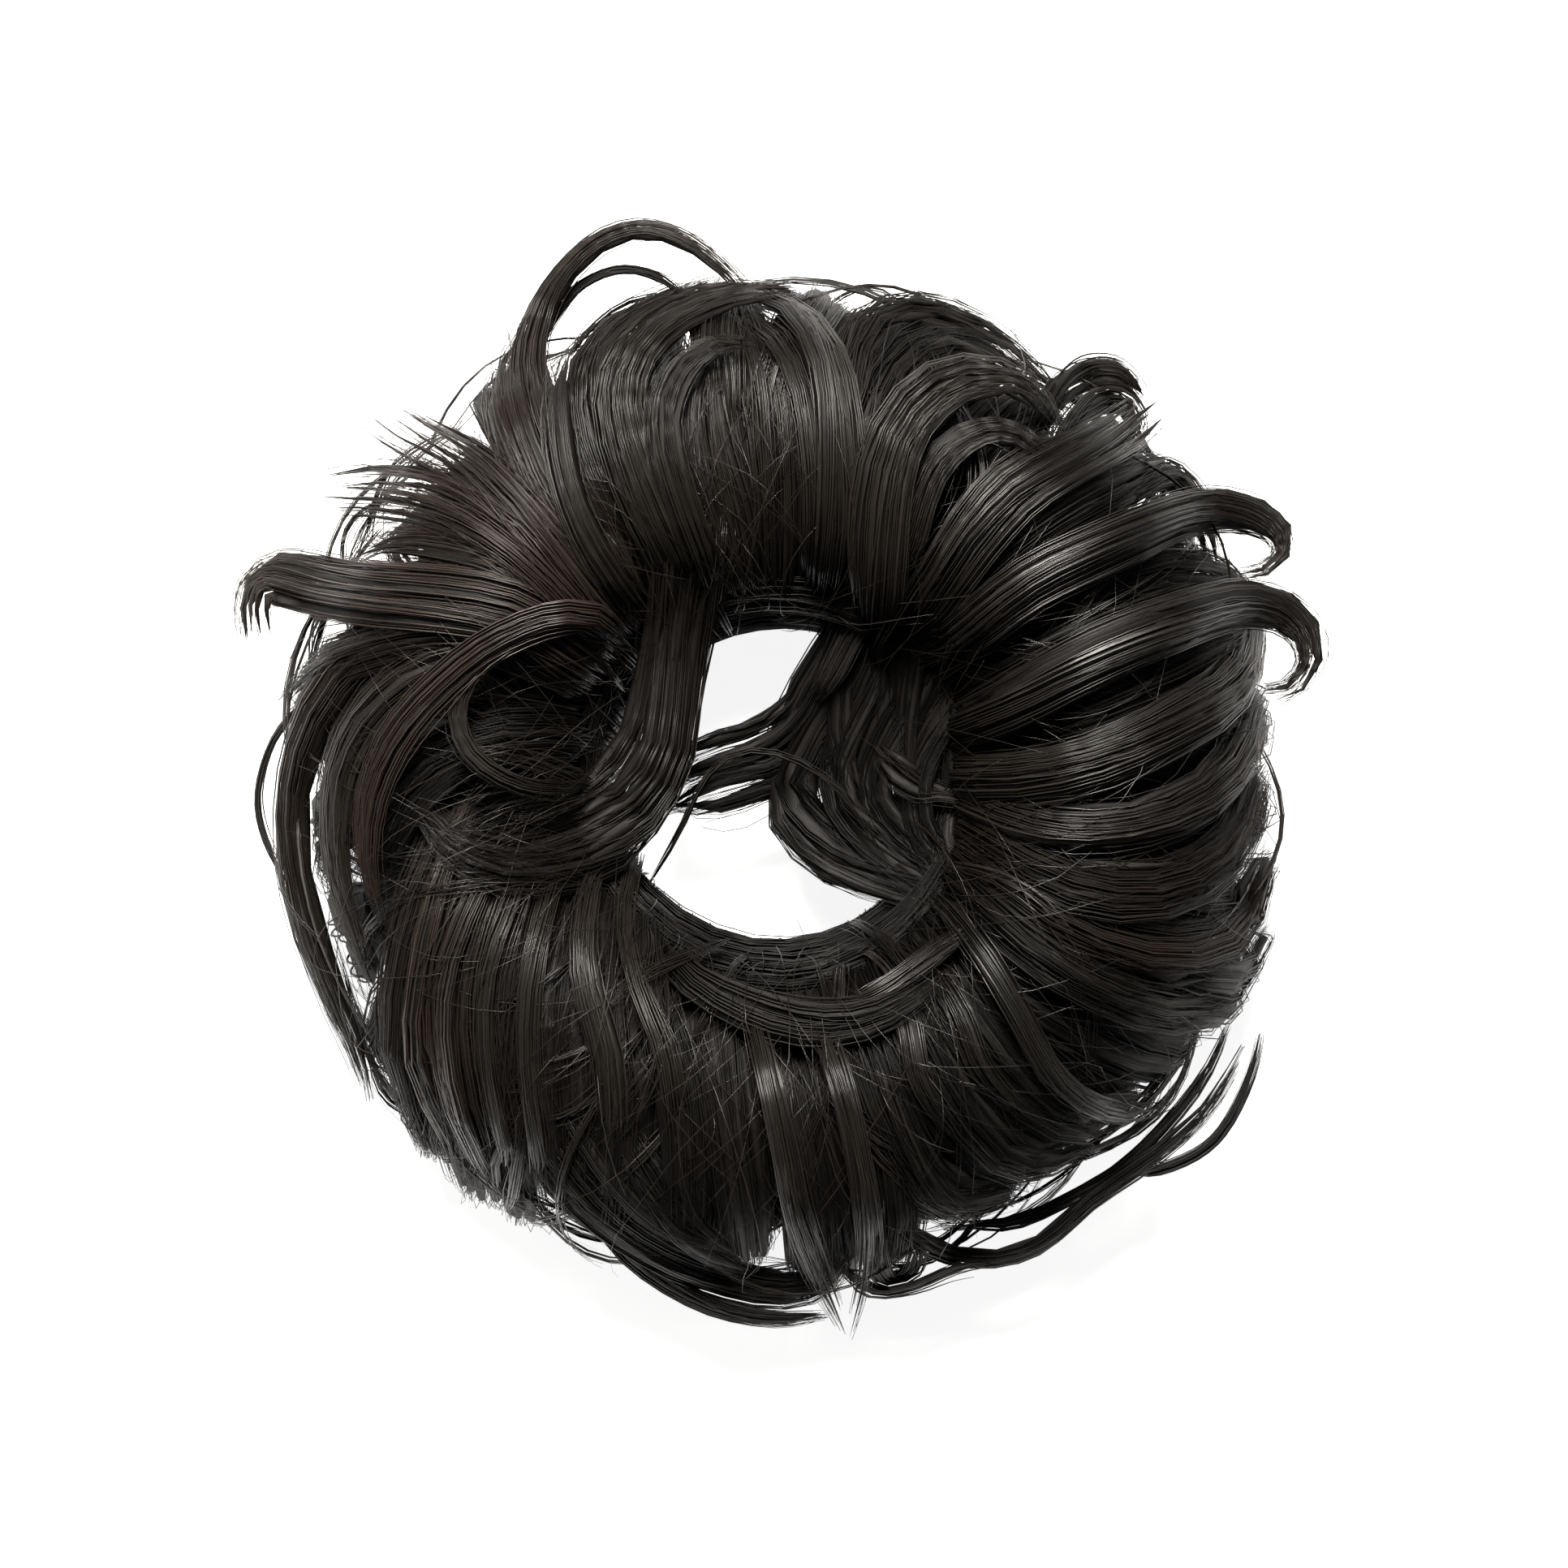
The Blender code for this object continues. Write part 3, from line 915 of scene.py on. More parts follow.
class ShaderMaker(TreeMaker):
    """Adds nodes to a new material."""

    def __init__(self, name: str) -> None:
        """Starts the material with that name."""
        self.material = bpy.data.materials.new(name)
        self.material.use_nodes = True
        super().__init__(self.material.node_tree)
        self.shader = self.tree.nodes["Principled BSDF"]

    def read(self, name: str, output: str) -> bpy.types.NodeSocket:
        """Returns an output of a new Attribute node."""
        return self.put("ShaderNodeAttribute", attribute_name=name).outputs[output]

    def mix(self, factor: bpy.types.NodeSocket, first: Wire, second: Wire) -> bpy.types.NodeSocket:
        """Adds a colour Mix node.

        Args:
            factor: Socket of the factor.
            first: Colour at 0, or its socket.
            second: Colour at 1, or its socket.

        Returns:
            The mixed colour.
        """
        node = self.put("ShaderNodeMix", data_type="RGBA")
        self.tree.links.new(factor, node.inputs[0])
        for slot, value in ((node.inputs[6], first), (node.inputs[7], second)):
            if isinstance(value, bpy.types.NodeSocket):
                self.tree.links.new(value, slot)
            else:
                slot.default_value = (*value, 1.0)
        return node.outputs[2]

    def bump(self, height: bpy.types.NodeSocket, strength: float, distance: float) -> None:
        """Bends the shader's normal by a height, at a strength and over a distance in millimetres."""
        node = self.put("ShaderNodeBump", strength)
        node.inputs["Distance"].default_value = distance * MM
        self.tree.links.new(height, node.inputs["Height"])
        self.tree.links.new(node.outputs["Normal"], self.shader.inputs["Normal"])

    def finished(self, colour: Wire, values: dict[str, Wire]) -> bpy.types.Material:
        """Ends the material.

        Args:
            colour: The shader's colour, or its socket.
            values: Values of the shader's other inputs.

        Returns:
            The material.
        """
        slots = self.shader.inputs
        if isinstance(colour, bpy.types.NodeSocket):
            self.tree.links.new(colour, slots["Base Color"])
        else:
            slots["Base Color"].default_value = (*colour, 1.0)
        for title, value in values.items():
            slots[title].default_value = value
        return self.material


@dataclass(frozen=True)
class HairFinish:
    """Near-black hair with a soft sheen and a little brown in some locks."""

    name: str = "dark_hair"
    deep: tuple[float, float, float] = (0.0026, 0.0021, 0.0017)
    light: tuple[float, float, float] = (0.0170, 0.0145, 0.0122)
    brown: tuple[float, float, float] = (0.0430, 0.0275, 0.0215)
    roughness: float = 0.31
    specular: float = 0.5
    patch_scale: float = 26.0
    patch_detail: float = 2.0
    least_level: float = -0.4
    greatest_level: float = 1.4

    @classmethod
    def in_shade(cls) -> "HairFinish":
        """Returns a painted-shade copy of the hair finish: darker colours, and duller, for the hair behind
        the bright locks.
        """
        deep, light = (0.0020, 0.0016, 0.0013), (0.0120, 0.0102, 0.0086)
        return cls("hair_in_shade", deep, light, roughness=0.5, specular=0.2)

    def material(self) -> bpy.types.Material:
        """Builds the material.

        Returns:
            The material, which reads the strands' tone and painted light, and their tint.
        """
        make = ShaderMaker(self.name)
        tone = make.read("tone", "Fac")
        tint = make.read("tint", "Fac")
        place = make.put("ShaderNodeTexCoord").outputs["Object"]
        patches = make.out("ShaderNodeTexNoise", place, self.patch_scale, self.patch_detail)
        # painted light: the level mixes the deep and light colours, so locks given a painted highlight come
        # out lighter and locks in shade darker; the noise patches are random tone
        level = make.out("ShaderNodeMath", tone, patches, operation="ADD")
        level = make.put(
            "ShaderNodeMapRange", level, self.least_level, self.greatest_level, 0.0, 1.0
        ).outputs["Result"]
        black = make.mix(level, self.deep, self.light)
        warmth = make.out("ShaderNodeMath", tint, patches, operation="MULTIPLY")
        warmth = make.out("ShaderNodeMath", warmth, level, operation="MULTIPLY")
        colour = make.mix(warmth, black, self.brown)
        return make.finished(colour, {"Roughness": self.roughness, "Specular IOR Level": self.specular})


@dataclass(frozen=True)
class MassFinish:
    """The hair deep inside the locks, coloured darker than the strands as painted shade, which shows only
    as streaks between strands.
    """

    name: str = "inner_hair"
    # painted shade: the mass is darker than the strands so that the gaps between them read as shadow
    deep: tuple[float, float, float] = (0.0010, 0.0008, 0.0007)
    light: tuple[float, float, float] = (0.0120, 0.0102, 0.0086)
    roughness: float = 0.5
    specular: float = 0.2
    streaks: float = 260.0
    streak_detail: float = 3.0
    streak_roughness: float = 0.6
    bump: float = 0.35
    bump_height: float = 0.4

    def material(self) -> bpy.types.Material:
        """Builds the material.

        Returns:
            The material, which follows the strands' run through the grain attribute.
        """
        make = ShaderMaker(self.name)
        grain = make.read("grain", "Vector")
        streak = make.out(
            "ShaderNodeTexNoise", grain, self.streaks, self.streak_detail, self.streak_roughness
        )
        make.bump(streak, self.bump, self.bump_height)
        colour = make.mix(streak, self.deep, self.light)
        return make.finished(colour, {"Roughness": self.roughness, "Specular IOR Level": self.specular})


@dataclass(frozen=True)
class YarnFinish:
    """Matt black braiding yarn."""

    name: str = "black_elastic"
    colour: tuple[float, float, float] = (0.010, 0.010, 0.011)
    lighter: tuple[float, float, float] = (0.030, 0.030, 0.032)
    roughness: float = 0.7
    sheen: float = 0.3
    fibre_scale: float = 2200.0
    fibre_detail: float = 2.0
    bump: float = 0.5
    bump_height: float = 0.1

    def material(self) -> bpy.types.Material:
        """Builds the material."""
        make = ShaderMaker(self.name)
        place = make.put("ShaderNodeTexCoord").outputs["Object"]
        fibre = make.out("ShaderNodeTexNoise", place, self.fibre_scale, self.fibre_detail)
        make.bump(fibre, self.bump, self.bump_height)
        colour = make.mix(fibre, self.colour, self.lighter)
        return make.finished(colour, {"Roughness": self.roughness, "Sheen Weight": self.sheen})


# The hair


def crown_locks() -> tuple[CrownLock, ...]:
    """Returns the locks over the crown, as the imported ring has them.

    A row gives the name, the azimuths at the root, crown and rim, the reach and the width.
    """
    brown, warm = Shade.BROWN, Shade.WARM
    return (
        CrownLock("right_high", 358, 5, 12, 97.5, 18, lift=2),
        CrownLock("right_upper", 18, 14, 17, 93, 14),
        CrownLock("right_swept", 42, 31, 25, 93, 15, lift=3),
        CrownLock("shoulder_right", 56, 46, 38, 98, 18),
        CrownLock("shoulder_inner", 67, 60, 51, 93, 15, lift=1),
        CrownLock("top_bright", 72, 73, 62, 97, 20, lift=4),
        CrownLock("top_straight", 84, 85, 80, 95, 16, lift=1),
        CrownLock("top_fan", 94, 96, 96, 94, 15, lift=3),
        CrownLock("top_left", 112, 108, 103, 91, 16),
        CrownLock("top_brown", 128, 125, 120, 98, 17, lift=1, shade=brown),
        CrownLock("left_top", 137, 141, 150, 90, 16, shade=warm),
        CrownLock("left_bright", 136, 158, 186, 90, 14, lift=4, shade=brown),
        CrownLock("left_edge", 153, 164, 172, 95, 16, shade=brown),
        CrownLock("left_low", 174, 182, 194, 91, 15),
        CrownLock("left_short", 190, 196, 204, 84, 14),
        CrownLock("bulge_edge", 203, 210, 221, 95, 16, lift=2, shade=warm),
        CrownLock("bulge", 214, 222, 231, 98.5, 19, shade=warm),
        CrownLock("bulge_right", 229, 232, 238, 96, 14, lift=3),
        CrownLock("valley", 241, 245, 249, 90, 17),
        CrownLock("bottom_left", 251, 256, 258, 94, 15, lift=2),
        CrownLock("bottom", 263, 265, 267, 91, 15),
        CrownLock("bottom_right", 278, 283, 290, 91, 17, lift=1),
        CrownLock("low_right", 290, 293, 302, 92.5, 16),
        CrownLock("low_right_upper", 302, 303, 311, 92, 18, lift=2),
        CrownLock("right_low", 311, 314, 321, 93, 15),
        CrownLock("right_curved", 319, 323, 331, 97, 17, lift=2),
        CrownLock("right_wide", 331, 332, 340, 101, 18),
        CrownLock("right_notch", 343, 343, 351, 93, 15, lift=1),
        CrownLock("right_middle", 350, 353, 2, 96, 17),
    )


# What a lock with whole, even ends has, and one whose root lies deep under other locks
WHOLE: dict[str, float] = {"ragged": 0.04, "loss": 0.4}
DEEP: dict[str, float | bool] = {"dives": False, "tuck": 13.0, "tuck_run": 0.3, "fray": 1.6}


def upper_ribbons() -> tuple[Ribbon, ...]:
    """Returns the locks that are seen on the upper half, each along its own course.

    A row gives the name, width, stand, end height and route.
    """
    brown, warm = Shade.BROWN, Shade.WARM
    loop, cut = Taper(0.5, 0.2, 0.3, 0.5), Taper(0.45, 0.35, 0.4, 0.2)
    fine, brush = Taper(0.7, 0.3), Taper(0.5, 0.75, 0.4, 0.15)
    return (
        Ribbon("top_straight", 13, 8, 28, ((10, 40), (11, 52), (10.5, 64), (9, 76), (4, 87), (-5, 93)),
               tone=0.5),
        Ribbon("corner_outer", 10, 2, 36, ((14, 44), (13, 62), (13, 77), (18, 87.5), (28, 90.5),
               (39, 87), (48, 80.5), (53, 74)), tone=-0.2),
        Ribbon("corner_mid", 11, 1, 34, ((16, 44), (17, 60), (20, 74), (27, 82.5), (37, 84), (46, 78),
               (52, 70)), tone=-0.4),
        Ribbon("top_bright", 14, 11, 44, ((19, 31), (19.5, 42), (20.5, 54), (23.5, 65), (31, 73.5),
               (41, 76), (49.5, 72), (54, 64)), tone=0.7, wisps=5),
        Ribbon("top_bright_inner", 7, 7, 40, ((24, 42), (28, 56), (35, 63.5), (43, 65), (50, 60.5),
               (52, 54)), tone=0.3),
        Ribbon("shoulder", 13, 0, 28, ((27, 30), (34, 40), (41, 50), (50, 58), (60, 62)), tone=-0.6),
        Ribbon("pointed_tip", 14, 9, 40, ((29, 34), (36, 45), (44, 54), (53, 59.5), (61.5, 64.5),
               (67.5, 69), (72.5, 72.5)), tone=0.25, taper=cut, wisps=5),
        Ribbon("tip_lower", 11, 4, 34, ((33, 32), (42, 42), (52, 49), (62, 54.5), (70, 59), (75, 61.5)),
               tone=-0.2, taper=cut),
        Ribbon("rim_curl", 8, 1, 30, ((60, 50), (69, 57), (75.5, 59), (80.5, 54), (83.5, 47), (84, 40)),
               fray=1.6, dives=False),
        Ribbon("hump", 7, 1, 34, ((49, 66), (53, 74), (58.5, 78.5), (64, 79), (68.5, 76), (72, 70.5)),
               on_edge=0.4, dives=False, extra=6),
        Ribbon("hump_inner", 4, 2, 36, ((51, 58), (55, 67), (61, 73), (67, 72.5), (69, 67), (65, 63)),
               on_edge=0.4, dives=False, fray=1.6, wisps=2),
        Ribbon("right_loop", 12, 11, 42, ((36, 28), (47, 36.5), (58, 42), (69, 47), (78.7, 51),
               (87.5, 51), (94, 48), (95.2, 43.5), (91, 40), (85, 39.5)), tone=0.5, taper=loop,
               on_edge=0.65, on_edge_by=0.8, wisps=3, extra=10, **WHOLE),
        Ribbon("right_loop_under", 11, 1, 28, ((36, 22), (49, 31), (62, 37), (74, 40.5), (84, 41),
               (90, 36)), tone=-0.5),
        Ribbon("lower_loop", 12, 11, 40, ((36, 11), (45, 15), (55, 20.5), (65.5, 25.5), (76, 29.5),
               (87, 33), (95, 32), (99.6, 28), (100.3, 22.5), (96.5, 18), (91, 17.5)), tone=0.5,
               taper=loop, on_edge=0.65, on_edge_by=0.8, wisps=3, extra=10, **WHOLE),
        Ribbon("lower_loop_lip", 9, 4, 34, ((40, 18), (54, 25), (68, 31), (80, 35), (89, 36.5),
               (94, 33)), tone=-0.2),
        Ribbon("right_high", 14, 9, 26, ((35, 1), (45, 1), (56, 3), (66, 6.5), (76, 11.5), (85.5, 17),
               (91, 24), (92, 32)), tone=0.6, wisps=7, fray=1.5),
        Ribbon("right_high_back", 12, 3, 26, ((36, 7), (48, 9), (60, 13), (72, 18), (82, 23), (90, 28)),
               tone=-0.4),
        Ribbon("top_back", 13, 1, 28, ((-1, 56), (0, 70), (3, 82), (8, 92)), tone=0.2, dives=False),
        Ribbon("top_back_left", 12, 1, 28, ((-9, 58), (-10, 72), (-11, 84), (-9, 93)), tone=0.2,
               dives=False),
        Ribbon("lip_upper", 13, 1, 40, ((-28, 20), (-22, 27), (-12, 33), (0, 35), (12, 33), (22, 27),
               (28, 20)), tone=-0.6, dives=False, fray=0.7, loss=0.5),
        Ribbon("lip_upper_lowest", 9, -8, 40, ((-27, 15), (-20, 24), (-9, 30), (3, 31.5), (15, 28.5),
               (24, 21)), tone=-0.6, dives=False, ragged=0.05),
        Ribbon("top_fan", 13, 1, 28, ((1, 37), (1, 50), (0, 64), (-2, 77), (-6, 88)), tone=0.3),
        Ribbon("top_fan_left", 12, 4, 32, ((-6, 37), (-9, 50), (-12.5, 62), (-13, 73), (-9, 82)),
               tone=0.4),
        Ribbon("top_curl", 8, 9, 42, ((-13, 40), (-18, 54), (-20.5, 67), (-17.5, 76.5), (-10.5, 81.5),
               (-2, 81)), tone=0.5),
        Ribbon("top_arc", 12, 8, 42, ((-19, 42), (-25.5, 57), (-29, 71), (-26, 81.5), (-17.5, 89),
               (-6, 93), (7, 93)), tone=0.7),
        Ribbon("top_arc_outer", 10, 3, 38, ((-27, 46), (-34, 61), (-36, 74), (-32.5, 84), (-24, 90.5),
               (-13, 95), (-1, 96.5)), tone=0.3),
        Ribbon("top_left_streak", 6, 9, 44, ((-29, 36), (-35, 46), (-38.5, 56), (-40, 66), (-40, 75),
               (-38, 82)), tone=0.8, wisps=2),
        Ribbon("top_brown", 18, 5, 38, ((-29, 33), (-37, 47), (-44, 60), (-48, 72), (-48, 83),
               (-43, 91)), brown, 0.7, wisps=5),
        Ribbon("arch", 8, 4, 40, ((-38, 50), (-44, 65), (-47, 78), (-45, 88.5), (-40, 96.5),
               (-33, 102.5), (-25, 105), (-17, 103), (-10, 98), (-5, 92)), warm, 0.5, Taper(0.6, 0.5,
               0.3, 0.6), 0.6, wisps=3, core=0.6, dives=False, extra=8, **WHOLE),
        Ribbon("arch_thin", 2.5, 3, 38, ((-44, 84), (-38, 93), (-30, 97), (-22, 95.5), (-16, 90)),
               taper=fine, thick=2, wisps=1, dives=False, extra=4, **WHOLE),
        Ribbon("brush_high", 14, 7, 46, ((-33, 33), (-43, 46), (-53, 56.5), (-61.5, 62.5), (-69, 67),
               (-76, 72)), brown, 0.7, brush, fray=3.5, core=0.35, density=8.5, wisps=9, ragged=0.3,
               loss=1.6, thick=9),
        Ribbon("brush_low", 17, 6, 42, ((-34, 32), (-46, 44), (-57, 51.5), (-68, 55.5), (-79, 56.5),
               (-87, 56)), brown, 0.6, brush, fray=3.5, core=0.35, density=8.5, wisps=10, ragged=0.3,
               loss=1.6, thick=9),
        Ribbon("hook_upper", 11, 4, 36, ((-34, 29), (-47, 39), (-60, 43.5), (-72, 44.5), (-80, 42)),
               brown, 0.3, wisps=5),
        Ribbon("hook", 16, 7, 39, ((-35, 24), (-47, 32), (-61, 34.5), (-75, 35.5), (-86, 37.5),
               (-94.5, 39.5), (-99, 37), (-100, 31), (-98.5, 24)), brown, 0.7, Taper(0.5, 0.55,
               0.3, 0.25), 0.15, wisps=6, loss=0.7, fray=0.8, extra=6),
        Ribbon("left_point", 11, 4, 32, ((-38, 20), (-50, 27), (-62, 28), (-73, 26.5), (-83, 23.5),
               (-91, 18), (-96.5, 11)), warm, 0.2),
    )


def hole_ribbons() -> tuple[Ribbon, ...]:
    """Returns the locks that hang into the hole, most of them darkened as painted shade, in rows like the
    others.
    """
    curl = (
        (-24, -19), (-18, -9), (-14.6, -1.4), (-9.5, 4.9), (-2, 6.2),
        (5.5, 3.7), (11.8, -0.7), (16.2, -6.4), (19.4, -12.7), (22.5, -15.8),
    )
    hanging = (
        ((42, 36), (38, 24), (36, 10), (36, -4), (38, -18), (41, -30)),
        ((36, 40), (32, 26), (31, 12), (31.5, -2), (34, -16), (38, -30)),
        ((33, 43), (28.5, 30), (27, 16), (27.5, 2), (30, -12), (35, -27)),
        ((29, 45), (24.5, 31), (23, 17), (23.5, 4), (26, -9), (31, -23)),
        ((25, 46), (20.5, 32), (19, 18), (19.5, 5), (22, -7), (26, -18)),
        ((20, 47), (16, 33), (14.5, 19), (15, 7), (18, -4), (23, -13)),
        ((17, 48), (13, 34), (11, 21), (11, 9), (14, -2), (20, -10)),
        ((22, 44), (15, 28), (12, 14), (11, 4), (13, -5), (18, -11)),
        ((46, 14), (37, 7), (31, -4), (30, -16), (34, -29)),
    )
    bridging = (
        ((24, 46), (18, 34), (13, 23), (7, 13), (-2, 7), (-13, 3), (-24, -2)),
        ((31, 40), (24, 27), (17, 15), (10, 6), (1, 1), (-10, -2), (-22, -6)),
        ((25, 44), (17, 31), (10, 20), (4, 9), (2, -1), (6, -10), (15, -16), (26, -19), (36, -21)),
        ((28, 42), (20, 28), (14, 16), (10.5, 4), (12, -6), (19, -14), (28, -20), (37, -24)),
        ((34, 36), (26, 22), (19.5, 10), (17, -1), (21, -10), (29, -17), (38, -21)),
        ((40, 28), (31, 14), (26, 2), (26, -9), (31, -18), (37, -26)),
        ((44, 16), (36, 4), (32, -8), (33, -19), (37, -29)),
    )
    # painted shade: the locks hanging across the hole get the lowest colour level, for the shade inside the
    # hole
    dark = [
        Ribbon(f"hanging_{number}", 11, -3.0 - number % 3, 30, route, tone=-0.9,
               hang=9.0 + 2.0 * (number % 3), taper=Taper(0.5, 0.35), fray=1.5, thick=5,
               dives=False, loss=0.8, density=4.4)
        for number, route in enumerate(hanging)
    ]
    dark += [
        Ribbon(f"bridging_{number}", 13, -3.0, 30, route, tone=-0.8, hang=9.0,
               taper=Taper(0.5, 0.55, 0.3, 0.2), thick=6, dives=False, loss=0.6, ragged=0.04,
               density=5.0, core=0.9, extra=2)
        for number, route in enumerate(bridging)
    ]
    return (
        *dark,
        Ribbon("hole_tuft", 7, -1, 40, ((22, 40), (17, 32), (13.7, 27), (10.5, 20), (6.1, 13.7)),
               tone=0.2, fray=2.0, wisps=3, dives=False),
        Ribbon("right_tuft", 6, -2, 40, ((40, -4), (32, -3), (26, -1), (21, 3), (18, 8)), tone=0.3,
               fray=2.4, wisps=3, dives=False),
        Ribbon("hole_curl", 1.2, 2, 40, curl, tone=0.5, taper=Taper(0.6, 0.5), thick=1.5, wisps=1,
               dives=False, fray=0.5, density=3.0),
    )


